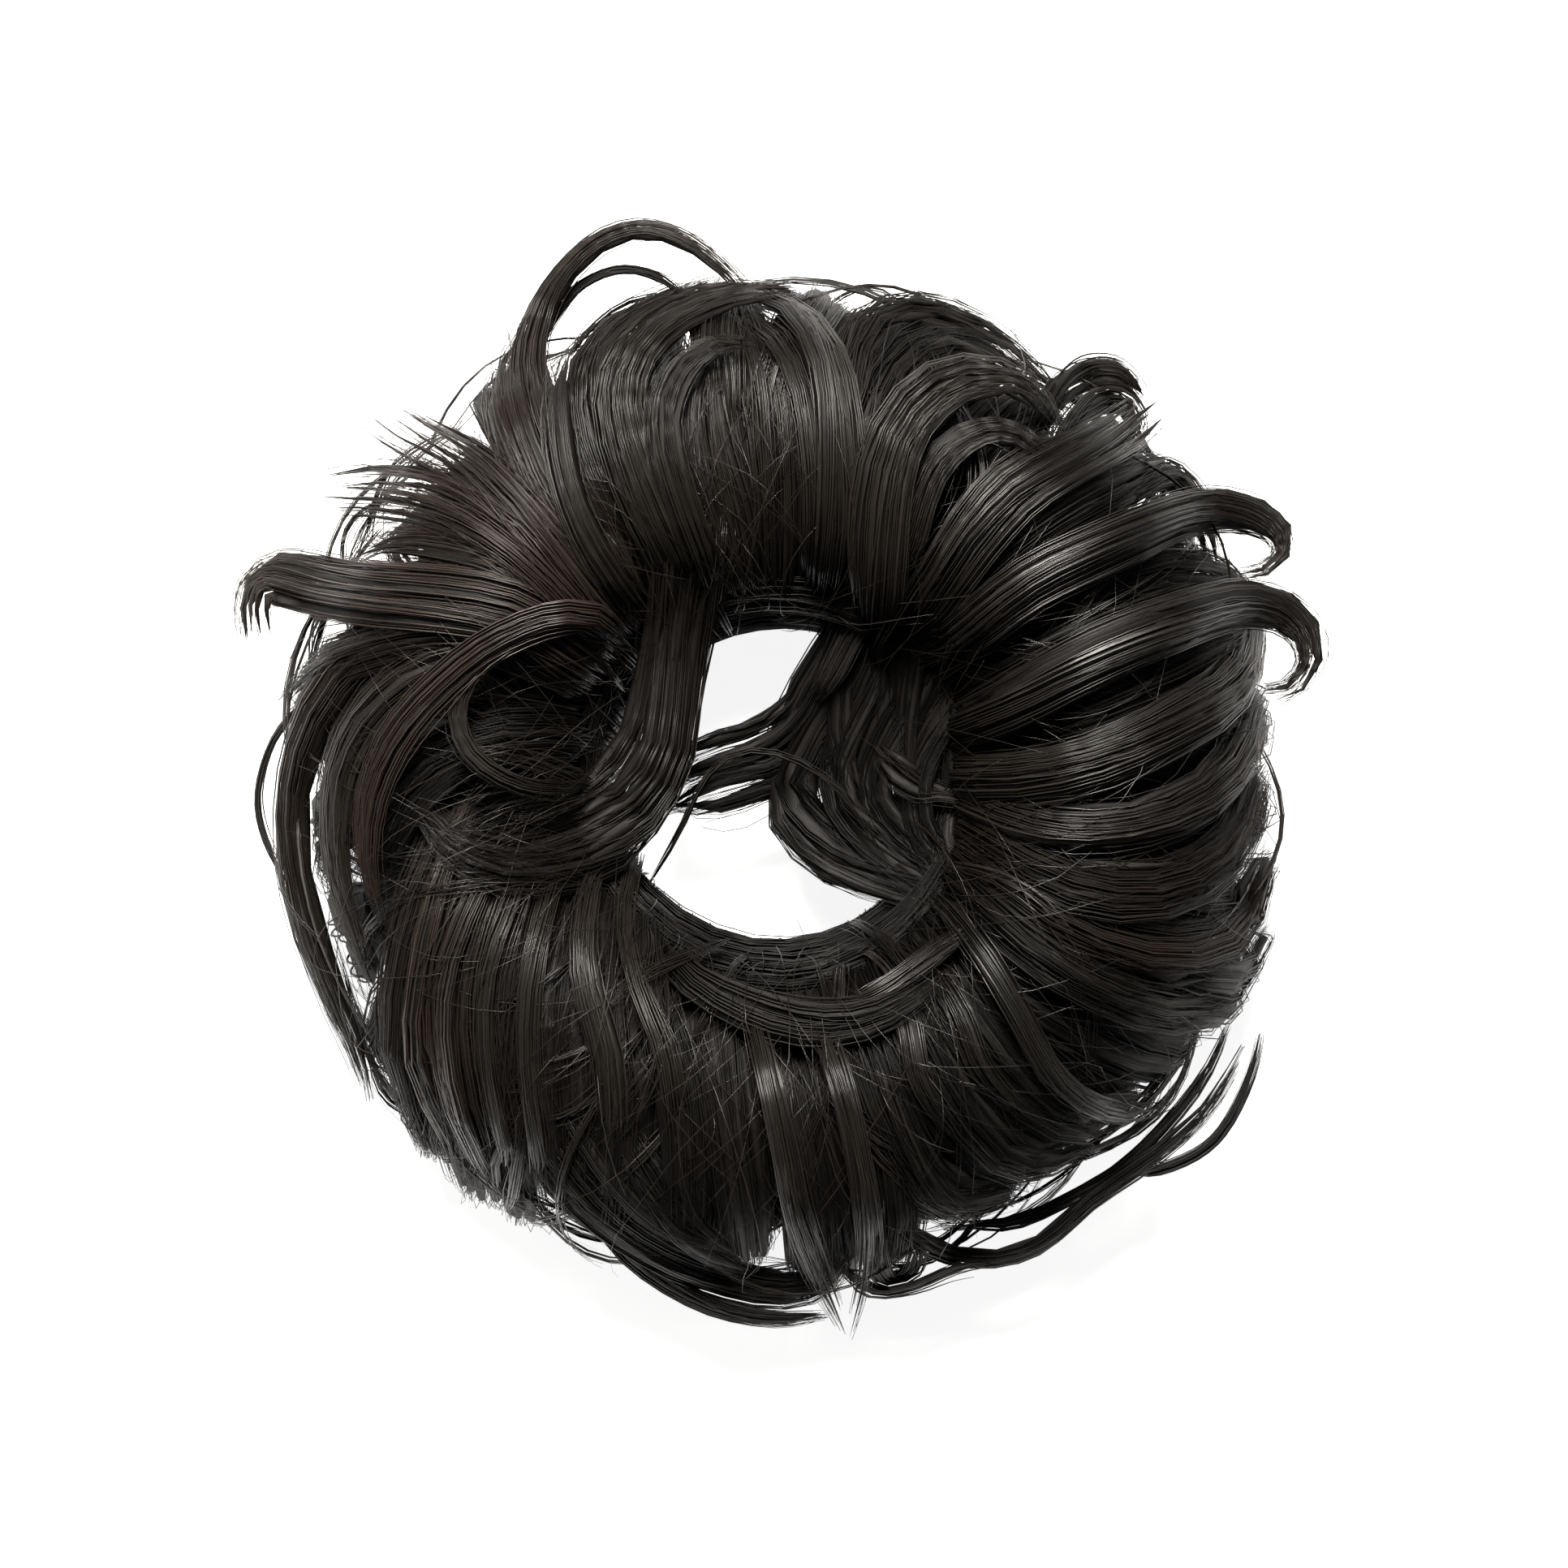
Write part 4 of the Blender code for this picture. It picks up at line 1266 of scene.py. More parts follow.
def lower_ribbons() -> tuple[Ribbon, ...]:
    """Returns the locks that are seen on the lower half, in rows like those of the upper."""
    brown, warm = Shade.BROWN, Shade.WARM
    fine = Taper(0.7, 0.3)
    chain = Taper(0.4, 0.2, 0.2, 0.3)
    return (
        Ribbon("left_bright", 8, 12, 38, ((-33, 30), (-41, 30), (-48, 27.5), (-55, 23.5), (-62, 17.5),
               (-68, 11), (-72.5, 3), (-75, -6), (-75, -17), (-72, -28)), brown, 0.7, wisps=3, extra=4,
               **WHOLE),
        Ribbon("left_curl", 3, 11, 44, ((-47, 26), (-55, 21), (-58.5, 13), (-55.5, 5), (-48, 0),
               (-40, -1.5), (-34, 0)), tone=0.8, taper=fine, thick=1.6, wisps=2, dives=False, **WHOLE),
        Ribbon("left_strands", 11, 3, 31, ((-45, 24), (-59, 25), (-71, 19), (-79, 9), (-82.5, -3),
               (-82, -17), (-78, -30), (-74, -40)), warm, 0.3, fray=1.8, dives=False),
        Ribbon("long_left", 11, 2, 30, ((-62, 32), (-76, 27), (-86, 15), (-91, 2), (-92, -12),
               (-89.5, -27), (-84, -42), (-79, -55), (-77, -65)), warm, 0.4, thick=7, dives=False),
        Ribbon("left_thin_arc", 1.6, 2, 30, ((-88, 16), (-95.5, 8), (-98.5, -2), (-97, -11),
               (-92, -20)), taper=fine, thick=1.2, wisps=1, dives=False, extra=4, **WHOLE),
        Ribbon("left_inner", 13, 2, 28, ((-37, 8), (-48, 8), (-60, 5), (-70, -4), (-76, -15)),
               tone=-0.5),
        Ribbon("cross_lock", 17, 5, 36, ((-11, 58), (-12, 47), (-14, 37), (-16, 27), (-17.5, 15),
               (-19, 4), (-25, -6), (-34, -12.5), (-45, -15.5), (-55, -14), (-63, -8.5), (-68, 0)),
               tone=0.3, thick=8, wisps=6, dives=False, extra=4, **WHOLE),
        Ribbon("cross_inner", 6, 6, 40, ((-19, 50), (-20, 40), (-21, 31), (-23.5, 19), (-27, 7),
               (-35, -2), (-44, -6.5), (-54, -5.5)), tone=0.3, fray=1.5, dives=False),
        Ribbon("bulge_outer", 13, 2, 24, ((-54, 4), (-63, -14), (-68, -30), (-70, -50), (-66, -69)),
               warm, 0.0, **DEEP),
        Ribbon("bulge_base_left", 15, 2, 22, ((-48, 2), (-56, -18), (-60, -36), (-61, -57), (-58, -78)),
               warm, 0.0, **DEEP),
        Ribbon("bulge_base", 15, 2, 22, ((-41, 0), (-47, -20), (-51, -38), (-52, -59), (-50, -81)),
               tone=-0.1, **DEEP),
        Ribbon("bulge_base_right", 15, 2, 22, ((-34, -6), (-39, -26), (-41, -44), (-40, -60),
               (-40, -76)), tone=-0.2, **DEEP),
        Ribbon("bulge_brown", 7, 4, 24, ((-54, 4), (-62, -16), (-66, -34), (-67, -52), (-61, -68)),
               brown, 0.4, **DEEP, sinks=5, wisps=3),
        Ribbon("bulge_bright", 8, 5, 24, ((-47, 0), (-54, -18), (-60, -34), (-61, -48), (-58, -64),
               (-53, -78)), warm, 0.5, **DEEP, sinks=7, wisps=4),
        Ribbon("bulge_bright_thin", 7, 5, 24, ((-42, -2), (-48, -20), (-53, -36), (-53, -52),
               (-50, -68)), tone=0.5, **DEEP, sinks=8, wisps=3),
        Ribbon("bulge_thread", 4, 6, 24, ((-37, -4), (-42, -22), (-45, -38), (-45, -54), (-43, -70)),
               tone=0.7, **DEEP, sinks=8, wisps=2),
        Ribbon("valley_bright", 7, 6, 26, ((-31, -6), (-35, -22), (-35, -36), (-31, -50), (-30, -64)),
               tone=0.7, **DEEP, sinks=7, wisps=3),
        Ribbon("valley_lip", 5, 6, 26, ((-26, -12), (-28, -26), (-25, -38), (-20, -49), (-18, -60)),
               tone=0.5, **DEEP, sinks=7, wisps=2),
        Ribbon("valley_base", 15, 2, 24, ((-29, -10), (-31, -28), (-30, -46), (-29, -62), (-31, -80)),
               tone=-0.3, **DEEP),
        Ribbon("valley_right", 10, 3, 24, ((-24, -25), (-23, -37), (-19, -52), (-17, -67), (-17, -82)),
               tone=0.0),
        Ribbon("bottom_left", 13, 2, 26, ((-12, -34), (-10, -48), (-8, -63), (-6, -77), (-5, -89)),
               tone=-0.4),
        Ribbon("bottom_arc", 13, 2, 31, ((-47, -60), (-41, -72), (-33, -81.5), (-23, -89.5), (-12, -95),
               (0, -98), (9, -96), (14, -89)), tone=0.1, thick=6, dives=False, extra=4, **WHOLE),
        Ribbon("bottom_arc_inner", 12, 1, 29, ((-42, -56), (-36, -68), (-28, -77), (-19, -84),
               (-9, -87.5)), tone=-0.4, dives=False, fray=1.5),
        Ribbon("bottom_foot", 10, 1, 29, ((-30, -62), (-24, -74), (-17, -84), (-9, -90), (-4, -93)),
               tone=-0.3, dives=False, fray=1.5),
        Ribbon("bottom_arc_outer", 5, 0, 30, ((-34, -83), (-24, -93), (-12, -99.5), (0, -102),
               (10, -101.5)), taper=chain, thick=4, wisps=2, dives=False, **WHOLE),
        Ribbon("lip_lower", 12, 1, 40, ((-33, -12), (-27, -22), (-16, -31), (-3, -34.5), (10, -34),
               (22, -27), (31, -17), (36, -6)), tone=-0.4, dives=False, ragged=0.05),
        Ribbon("lip_lowest", 8, -8, 40, ((-33, -9), (-26, -19), (-15.5, -27.5), (-3, -31.5), (10, -30),
               (21, -24), (29, -14), (33, -3)), tone=-0.6, dives=False, ragged=0.05),
        Ribbon("lip_left", 11, -1, 40, ((-24, 28), (-31, 19), (-35, 9), (-35, -2), (-32, -13)),
               tone=-0.6, dives=False),
        Ribbon("hole_rim", 11, 8, 40, ((-22, -30), (-14, -37), (-4, -41.5), (7, -44), (18, -43),
               (28, -37.5), (35, -30)), tone=0.1, dives=False),
        Ribbon("hole_rim_tip", 7, 9, 40, ((12, -42), (22, -37), (31, -30.5), (39, -25)), tone=0.6,
               taper=Taper(0.3, 0.1, 0.4, 0.5), thick=3, fray=2.0, wisps=4, dives=False),
        Ribbon("bottom_dark", 17, 1, 26, ((1, -40), (4, -55), (7, -70), (9, -84), (10, -95)), tone=-0.6,
               dives=False, fray=1.5),
        Ribbon("bottom_dark_right", 13, 1, 26, ((12, -38), (17, -53), (21, -68), (23, -82), (22, -91)),
               tone=-0.6, dives=False, fray=1.5),
        Ribbon("drop_left", 5.5, 10, 38, ((-5, -38), (-1, -54), (2, -68), (4.5, -81), (9, -94),
               (14, -106)), tone=0.3, dives=False, core=0.6, taper=Taper(0.6, 0.15), wisps=3, fray=1.4),
        Ribbon("drop_right", 5.5, 9, 37, ((7, -40), (12, -54), (15.5, -68), (17.5, -80), (17.5, -93),
               (14, -106)), tone=0.4, dives=False, core=0.6, taper=Taper(0.6, 0.15), wisps=3, fray=1.4),
        Ribbon("low_fan_left", 4, 6, 32, ((22, -36), (25, -45), (27, -55), (33, -64), (41, -70)),
               tone=0.6, dives=False, sinks=5, wisps=2),
        Ribbon("low_fan_right", 4, 6, 32, ((28, -32), (34, -42), (38, -52), (45, -60), (54, -65)),
               tone=0.6, dives=False, sinks=5, wisps=2),
        Ribbon("small_curl", 5, 4, 33, ((18, -74), (18, -86), (20.5, -94.5), (26.5, -93), (27.5, -86)),
               taper=chain, on_edge=0.3, thick=3.5, wisps=2, dives=False, **WHOLE),
        Ribbon("low_link", 4, 2, 32, ((12, -92), (19, -97), (27, -96), (35, -92.5), (43, -91)),
               taper=chain, thick=3, wisps=2, dives=False, **WHOLE),
        Ribbon("low_right", 14, 3, 26, ((13, -37), (17, -51), (22, -65), (29, -77), (36, -80),
               (44, -78)), tone=-0.6, fray=1.5),
        Ribbon("low_right_middle", 13, 4, 26, ((20, -33), (26, -47), (33, -60), (42, -70), (50, -72),
               (58, -69)), tone=-0.6, fray=1.5),
        Ribbon("low_right_upper", 13, 4, 26, ((27, -29), (34, -41), (41, -52), (50, -61), (60, -64),
               (67, -61)), tone=-0.5, fray=1.5),
        Ribbon("low_curl", 5.5, 9, 34, ((33, -24), (40, -34), (46, -45), (51.5, -55), (60, -61),
               (70, -63), (79, -60)), tone=0.4, sinks=3, wisps=3),
        Ribbon("lower_arc", 5, 1, 31, ((18, -74), (24.5, -84.5), (32, -90), (40, -91.5), (48, -90),
               (55, -85.5), (60.5, -80), (68.5, -74.5), (76, -69), (84, -61), (90.5, -49)), taper=chain,
               on_edge=0.2, thick=4, extra=6, dives=False, wisps=3, **WHOLE),
        Ribbon("lower_arc_inner", 4, 1, 30, ((36, -84), (46, -83.5), (56, -79), (65, -74),
               (73.5, -66.5), (82, -56), (87, -45)), taper=chain, thick=3, wisps=2, dives=False,
               extra=4, **WHOLE),
        Ribbon("lower_arc_outer", 2.2, 1, 30, ((66, -75), (74, -73.5), (81.5, -70), (86.5, -64.5),
               (91, -55), (93, -46)), taper=fine, thick=2, wisps=1, dives=False, extra=4, **WHOLE),
        Ribbon("right_curved", 10, 7, 26, ((35, -19), (45, -29), (57, -37), (69, -42), (81, -43.5),
               (90, -38.5), (94, -29)), tone=-0.2, fray=1.5),
        Ribbon("right_wide", 14, 4, 24, ((37, -14), (48, -23.5), (60, -30), (72, -33), (83, -32),
               (91, -26), (94, -16)), brown, -0.3, wisps=5),
        Ribbon("right_notch", 13, 6, 24, ((37, -8), (47, -15), (58, -19.5), (70, -20.5), (81, -17),
               (89, -9), (92, 1)), warm, -0.1, fray=1.5, wisps=5),
        Ribbon("right_middle", 13, 7, 24, ((36, -3), (46, -7.5), (57, -9), (69, -7.5), (80, -3),
               (88.5, 5), (92, 14)), tone=0.4, wisps=7, fray=1.5),
    )


@dataclass(frozen=True)
class Quarter:
    """The crown locks whose crown lies in one range of azimuths make one piece."""

    name: str
    first: float
    last: float

    def holds(self, lock: CrownLock) -> bool:
        """Returns whether the lock's crown lies in this range."""
        return self.first <= lock.crown % 360.0 < self.last


@dataclass
class CrownHair:
    """The locks over the crown, split into wisps and filled with strands."""

    quarters: tuple[Quarter, ...] = (
        Quarter("crown_hair_right", 0.0, 90.0),
        Quarter("crown_hair_top", 90.0, 180.0),
        Quarter("crown_hair_left", 180.0, 270.0),
        Quarter("crown_hair_low", 270.0, 360.0),
    )
    stations: int = 12
    seed: int = 21
    wisps: WispStyle = WispStyle(wisps=4, strands=15, sway=0.35, tone_spread=0.3, lean=24.0)
    strands: StrandStyle = StrandStyle(width=0.38, shell=2.2, fray=0.6)

    def guides(self) -> dict[str, list[Guide]]:
        """Splits every lock into wisps.

        Returns:
            The guides of each quarter's piece.
        """
        rng = random.Random(self.seed)
        found: dict[str, list[Guide]] = {quarter.name: [] for quarter in self.quarters}
        for lock in crown_locks():
            name = next(quarter.name for quarter in self.quarters if quarter.holds(lock))
            found[name] += self.wisps.split(lock, self.stations, rng)
        return found

    def build(self, shop: Workshop, finish: bpy.types.Material) -> list[Guide]:
        """Makes a piece for each quarter.

        Args:
            shop: Where pieces are made.
            finish: The hair's material.

        Returns:
            Every guide, for the mass inside.
        """
        everything = []
        for number, (name, guides) in enumerate(self.guides().items()):
            style = replace(self.strands, seed=self.seed + number)
            shop.add_hair(name, guides, style, finish)
            everything += guides
        return everything


@dataclass
class RibbonHair:
    """The locks that are seen: ribbons over the ring, loops and tips past its rim."""

    stations: int = 15
    shaded_stations: int = 13
    seed: int = 33
    # ribbons with a colour level below this count as in shade and take the darker painted-shade finish
    shaded_below: float = 0.12
    # painted shade: the ribbons' edge wisps are darkened for the shadow between locks
    wisps: WispStyle = WispStyle(
        wisps=4, strands=0, span=0.72, sway=0.14, wobble=0.06, thickness=0.6, dome=1.5,
        tone_spread=0.2, edge_painted_shade=0.7,
    )
    strands: StrandStyle = StrandStyle(width=0.32, shell=1.7, fray=0.24, shortest=0.74, wild=10.0)

    def guides(self, ribbons: Sequence[Ribbon], rng: random.Random) -> list[Guide]:
        """Splits ribbons into wisps.

        Args:
            ribbons: The locks.
            rng: Where the wisps' own places come from.

        Returns:
            The wisps' guides.
        """
        guides = []
        for ribbon in ribbons:
            strands = round(ribbon.density * (ribbon.width + 2.0) / ribbon.wisps)
            style = replace(
                self.wisps,
                wisps=ribbon.wisps,
                strands=strands,
                fray=ribbon.fray,
                ragged=ribbon.ragged,
                loss=ribbon.loss,
                core=ribbon.core,
            )
            stations = self.stations if ribbon.tone >= self.shaded_below else self.shaded_stations
            guides += style.split(ribbon, stations + ribbon.extra, rng)
        return guides

    def bright(self, ribbons: Sequence[Ribbon], right: bool) -> list[Ribbon]:
        """Returns the ribbons that catch the light and whose middle lies on one side."""
        shiny = [ribbon for ribbon in ribbons if ribbon.tone >= self.shaded_below]
        return [ribbon for ribbon in shiny if (ribbon.route[len(ribbon.route) // 2][0] > 0.0) == right]

    def behind(self, ribbons: Sequence[Ribbon]) -> list[Ribbon]:
        """Returns the ribbons that lie behind the bright ones."""
        return [ribbon for ribbon in ribbons if ribbon.tone < self.shaded_below]

    def build(self, shop: Workshop, shiny: bpy.types.Material, dull_and_shaded: bpy.types.Material) -> list[Guide]:
        """Makes the ribbons, in pieces by place and by finish.

        Args:
            shop: Where pieces are made.
            shiny: The finish of the locks that catch the light.
            dull_and_shaded: The painted-shade finish of the locks behind them, darker and duller.

        Returns:
            Every guide, for the mass inside.
        """
        rng = random.Random(self.seed)
        upper, lower = upper_ribbons(), lower_ribbons()
        groups = {
            "locks_in_hole": (hole_ribbons(), dull_and_shaded),
            "locks_behind_upper": (self.behind(upper), dull_and_shaded),
            "locks_behind_lower": (self.behind(lower), dull_and_shaded),
            "locks_upper_right": (self.bright(upper, right=True), shiny),
            "locks_upper_left": (self.bright(upper, right=False), shiny),
            "locks_lower_left": (self.bright(lower, right=False), shiny),
            "locks_lower_right": (self.bright(lower, right=True), shiny),
        }
        everything = []
        for number, (name, (ribbons, finish)) in enumerate(groups.items()):
            guides = self.guides(ribbons, rng)
            style = replace(self.strands, seed=self.seed + number)
            shop.add_hair(name, guides, style, finish)
            everything += guides
        return everything


@dataclass(frozen=True)
class WispRow:
    """A row of plain wisps round the ring: their number, place over the backing and size."""

    count: int
    first_angle: float
    last_angle: float
    stand: float
    reach: tuple[float, float]
    width: float
    thick: float


RIM_ROW = WispRow(
    count=26, first_angle=30.0, last_angle=-52.0, stand=0.0, reach=(83.0, 88.0), width=12.0, thick=6.0
)
FOOT_ROW = WispRow(
    count=40, first_angle=196.0, last_angle=322.0, stand=-1.6, reach=(83.0, 83.0), width=10.0, thick=2.6
)


@dataclass
class UnderHair:
    """Plain locks round the rim and the underside, between the ones that are seen."""

    rows: tuple[WispRow, ...] = (RIM_ROW, FOOT_ROW)
    sweep: float = 9.0
    jitter: float = 0.3
    uneven_end: float = 6.0
    tint: float = 0.1
    tones: tuple[float, float] = (-0.5, 0.1)
    stations: int = 9
    seed: int = 47
    strands_each: int = 13
    strands: StrandStyle = StrandStyle(width=0.5, shell=1.4, fray=0.4)

    def guide(self, row: WispRow, number: int, rng: random.Random) -> Guide:
        """Lays one wisp of a row.

        Args:
            row: The row.
            number: Which wisp of the row this is.
            rng: Where the wisp's own place comes from.

        Returns:
            The wisp's guide.
        """
        azimuth = 360.0 * (number + rng.uniform(-self.jitter, self.jitter)) / row.count
        sweep = rng.uniform(-self.sweep, self.sweep)
        reach = rng.uniform(*row.reach)
        last_angle = row.last_angle + rng.uniform(-self.uneven_end, self.uneven_end)
        stations = []
        for share in shares(self.stations):
            angle = row.first_angle + (last_angle - row.first_angle) * share
            point, normal = RING.surface(angle, azimuth + sweep * share, row.stand, reach)
            stations.append(Station(point, normal, row.width / 2, row.thick / 2))
        return Guide(sections_of(stations), self.strands_each, self.tint, rng.uniform(*self.tones))

    def build(self, shop: Workshop, finish: bpy.types.Material) -> list[Guide]:
        """Makes the plain locks.

        Args:
            shop: Where pieces are made.
            finish: The hair's material.

        Returns:
            Every guide, for the mass inside.
        """
        rng = random.Random(self.seed)
        guides = [self.guide(row, number, rng) for row in self.rows for number in range(row.count)]
        shop.add_hair("under_hair", guides, self.strands, finish)
        return guides


@dataclass
class RimHair:
    """Thin strands that leave the rim, run beside it for a while and come back to it."""

    wisps: int = 76
    inner_radius: float = 90.0
    bulge: tuple[float, float] = (1.0, 7.0)
    run: tuple[float, float] = (14.0, 42.0)
    height: tuple[float, float] = (16.0, 44.0)
    half_width: tuple[float, float] = (0.4, 1.6)
    back_early: float = 1.15
    least_strands: int = 2
    strands_per_mm: float = 6.0
    tints: tuple[float, ...] = (0.0, 0.3)
    tones: tuple[float, float] = (-0.2, 0.3)
    stations: int = 11
    seed: int = 83
    strands: StrandStyle = StrandStyle(width=0.28, fray=0.35, wild=1.5, shortest=0.6, seed=83)

    def build(self, shop: Workshop, finish: bpy.types.Material) -> None:
        """Lays the strands.

        Args:
            shop: Where pieces are made.
            finish: The hair's material.
        """
        rng = random.Random(self.seed)
        guides = []
        for _ in range(self.wisps):
            azimuth = rng.uniform(0.0, 360.0)
            run = rng.uniform(*self.run) * rng.choice((-1.0, 1.0))
            bulge = rng.uniform(*self.bulge)
            start_height, end_height = rng.uniform(*self.height), rng.uniform(*self.height)
            half_width = rng.uniform(*self.half_width)
            stations = []
            for share in shares(self.stations):
                arch = math.sin(math.pi * min(1.0, share * self.back_early))
                outward = bearing(azimuth + run * share)
                point = outward * (self.inner_radius + bulge * arch)
                point.z = start_height + (end_height - start_height) * share
                stations.append(Station(point, outward, half_width, half_width * 0.5))
            strands = self.least_strands + round(self.strands_per_mm * half_width)
            tint, tone = rng.choice(self.tints), rng.uniform(*self.tones)
            guides.append(Guide(sections_of(stations), strands, tint, tone))
        shop.add_hair("rim_strands", guides, self.strands, finish)


@dataclass
class LooseHair:
    """Thin wisps that cross the locks, and single hairs that stand away from them."""

    thin_wisps: int = 52
    thin_half_width: tuple[float, float] = (0.7, 1.9)
    thin_strands: tuple[int, int] = (5, 13)
    thin_stand: tuple[float, float] = (6.0, 9.0)
    thin_sweep: float = 26.0
    flyaways: int = 580
    flyaway_stand: tuple[float, float] = (6.0, 13.0)
    flyaway_sweep: float = 45.0
    flyaway_half_width: float = 1.5
    first_angle: tuple[float, float] = (95.0, 166.0)
    run: tuple[float, float] = (55.0, 150.0)
    bow: float = 0.4
    reach: tuple[float, float] = (88.0, 98.0)
    ends: tuple[float, float] = (-0.5, 1.0)
    end_width: float = 0.35
    tints: tuple[float, ...] = (0.0, 0.0, 0.5)
    tones: tuple[float, float] = (-0.2, 0.6)
    stations: int = 13
    seed: int = 58
    wisp_strands: StrandStyle = StrandStyle(width=0.28, fray=0.7, wild=5.0, shortest=0.7)
    single_strands: StrandStyle = StrandStyle(width=0.17, fray=1.5, wild=2.0, shortest=0.5)

    def crossing(
        self, rng: random.Random, stand: tuple[float, float], sweep: float, half_width: float, strands: int
    ) -> Guide:
        """Lays one thin wisp over the crown, askew.

        Args:
            rng: Where its place comes from.
            stand: Least and greatest height over the backing at its middle.
            sweep: How far it may run round the ring, in degrees.
            half_width: Half its width.
            strands: How many strands it has.

        Returns:
            The wisp's guide.
        """
        azimuth = rng.uniform(0.0, 360.0)
        first = rng.uniform(*self.first_angle)
        last = first - rng.uniform(*self.run)
        turn = rng.uniform(-sweep, sweep)
        bow = rng.uniform(-sweep, sweep) * self.bow
        height = rng.uniform(*stand)
        reach = rng.uniform(*self.reach)
        ends = rng.uniform(*self.ends)
        stations = []
        for share in shares(self.stations):
            angle = first + (last - first) * share
            arch = math.sin(math.pi * share)
            own_stand = height * (ends + (1.0 - ends) * arch)
            point, normal = RING.surface(angle, azimuth + turn * share + bow * arch, own_stand, reach)
            taper = self.end_width + (1.0 - self.end_width) * arch
            stations.append(Station(point, normal, half_width * taper, half_width * 0.5 * taper))
        tint, tone = rng.choice(self.tints), rng.uniform(*self.tones)
        return Guide(sections_of(stations), strands, tint, tone)

    def build(self, shop: Workshop, finish: bpy.types.Material) -> None:
        """Makes the thin wisps and the single hairs.

        Args:
            shop: Where pieces are made.
            finish: The hair's material.
        """
        rng = random.Random(self.seed)
        wisps = []
        for _ in range(self.thin_wisps):
            half_width, strands = rng.uniform(*self.thin_half_width), rng.randint(*self.thin_strands)
            wisps.append(self.crossing(rng, self.thin_stand, self.thin_sweep, half_width, strands))
        shop.add_hair("crossing_wisps", wisps, self.wisp_strands, finish)
        singles = [
            self.crossing(rng, self.flyaway_stand, self.flyaway_sweep, self.flyaway_half_width, 1)
            for _ in range(self.flyaways)
        ]
        shop.add_hair("single_hairs", singles, self.single_strands, finish)


@dataclass
class HairMass:
    """The solid hair inside the locks: the backing, and a core in every wisp."""

    inset: float = 1.4
    section_sides: int = 32
    ring_steps: int = 120
    groove: float = 5.4
    groove_sides: int = 10
    groove_half_turn: float = 78.0
    core_sides: int = 6
    core_thick: float = 0.9
    core_shell: float = 0.2
    core_fade: tuple[float, float] = (0.1, 0.3)
    core_tip: float = 0.02
    least_height: float = 0.6
    backing_grain: float = 0.04
    grain_radius: float = 0.04
    grain_length: float = 0.03
    grain_step: float = 0.37

    def backing(self, mesh: bmesh.types.BMesh, grain: bmesh.types.BMLayerItem) -> None:
        """Adds the turned backing with the groove for the wound hair.

        Args:
            mesh: The mesh to add to.
            grain: Its layer for the run of the hair.
        """
        outline = []
        for index in range(self.section_sides):
            angle = 360.0 * (index + 0.5) / self.section_sides - 180.0
            across = math.cos(math.radians(angle))
            half_across = (RING.half_outside if across > 0 else RING.half_inside) - self.inset
            height = RING.half_height + (RING.half_height - self.inset) * math.sin(math.radians(angle))
            outline.append((RING.radius + half_across * across, height))
        outline = [
            (radius, height)
            for radius, height in outline
            if math.hypot(radius - RING.band_radius, height - RING.half_height) > self.groove
        ]
        for index in range(self.groove_sides + 1):
            turned = 2.0 * self.groove_half_turn * index / self.groove_sides
            angle = math.radians(self.groove_half_turn - turned)
            across, up = self.groove * math.cos(angle), self.groove * math.sin(angle)
            outline.append((RING.band_radius + across, RING.half_height + up))
        rings = []
        for step in range(self.ring_steps):
            azimuth = math.tau * step / self.ring_steps
            ring = []
            for place, (radius, height) in enumerate(outline):
                vert = mesh.verts.new(
                    (radius * math.cos(azimuth) * MM, radius * math.sin(azimuth) * MM, height * MM)
                )
                around = place / len(outline) * self.backing_grain
                vert[grain] = Vector((around, step / self.ring_steps, 0.0))
                ring.append(vert)
            rings.append(ring)
        self.skin(mesh, rings, closed=True)

    @staticmethod
    def skin(mesh: bmesh.types.BMesh, rings: list[list[bmesh.types.BMVert]], closed: bool) -> None:
        """Joins rings of points with faces.

        Args:
            mesh: The mesh that the points are in.
            rings: The rings in order.
            closed: Whether the last ring joins the first, or both ends are capped.
        """
        pairs = list(zip(rings, rings[1:]))
        if closed:
            pairs.append((rings[-1], rings[0]))
        for near, far in pairs:
            for i in range(len(near)):
                j = (i + 1) % len(near)
                mesh.faces.new((near[i], near[j], far[j], far[i]))
        if not closed:
            mesh.faces.new(list(reversed(rings[0])))
            mesh.faces.new(rings[-1])

    def core(
        self, mesh: bmesh.types.BMesh, grain: bmesh.types.BMLayerItem, guide: Guide, number: int
    ) -> None:
        """Adds the core of one wisp.

        Args:
            mesh: The mesh to add to.
            grain: Its layer for the run of the hair.
            guide: The wisp.
            number: Sets this core's streaks apart from the others'.
        """
        rings = []
        last = len(guide.sections) - 1
        stride = 2 if last % 2 == 0 else 1
        for step in range(0, last + 1, stride):
            part = guide.sections[step]
            share = step / last
            rise = self.core_tip + share / self.core_fade[0]
            fall = self.core_tip + (1.0 - share) / self.core_fade[1]
            scale = guide.core * min(1.0, rise, fall)
            ring = []
            for side in range(self.core_sides):
                angle = math.tau * side / self.core_sides
                middle = part.point - part.top * (part.half_thick * self.core_shell)
                offset = part.side * (part.half_width * scale * math.cos(angle))
                offset += part.top * (part.half_thick * scale * self.core_thick * math.sin(angle))
                place = middle + offset
                place.z = max(place.z, self.least_height)
                vert = mesh.verts.new(place * MM)
                around = Vector((0.0, math.cos(angle), math.sin(angle))) * self.grain_radius
                run = Vector((share * self.grain_length, 0.0, number * self.grain_step))
                vert[grain] = around + run
                ring.append(vert)
            rings.append(ring)
        self.skin(mesh, rings, closed=False)

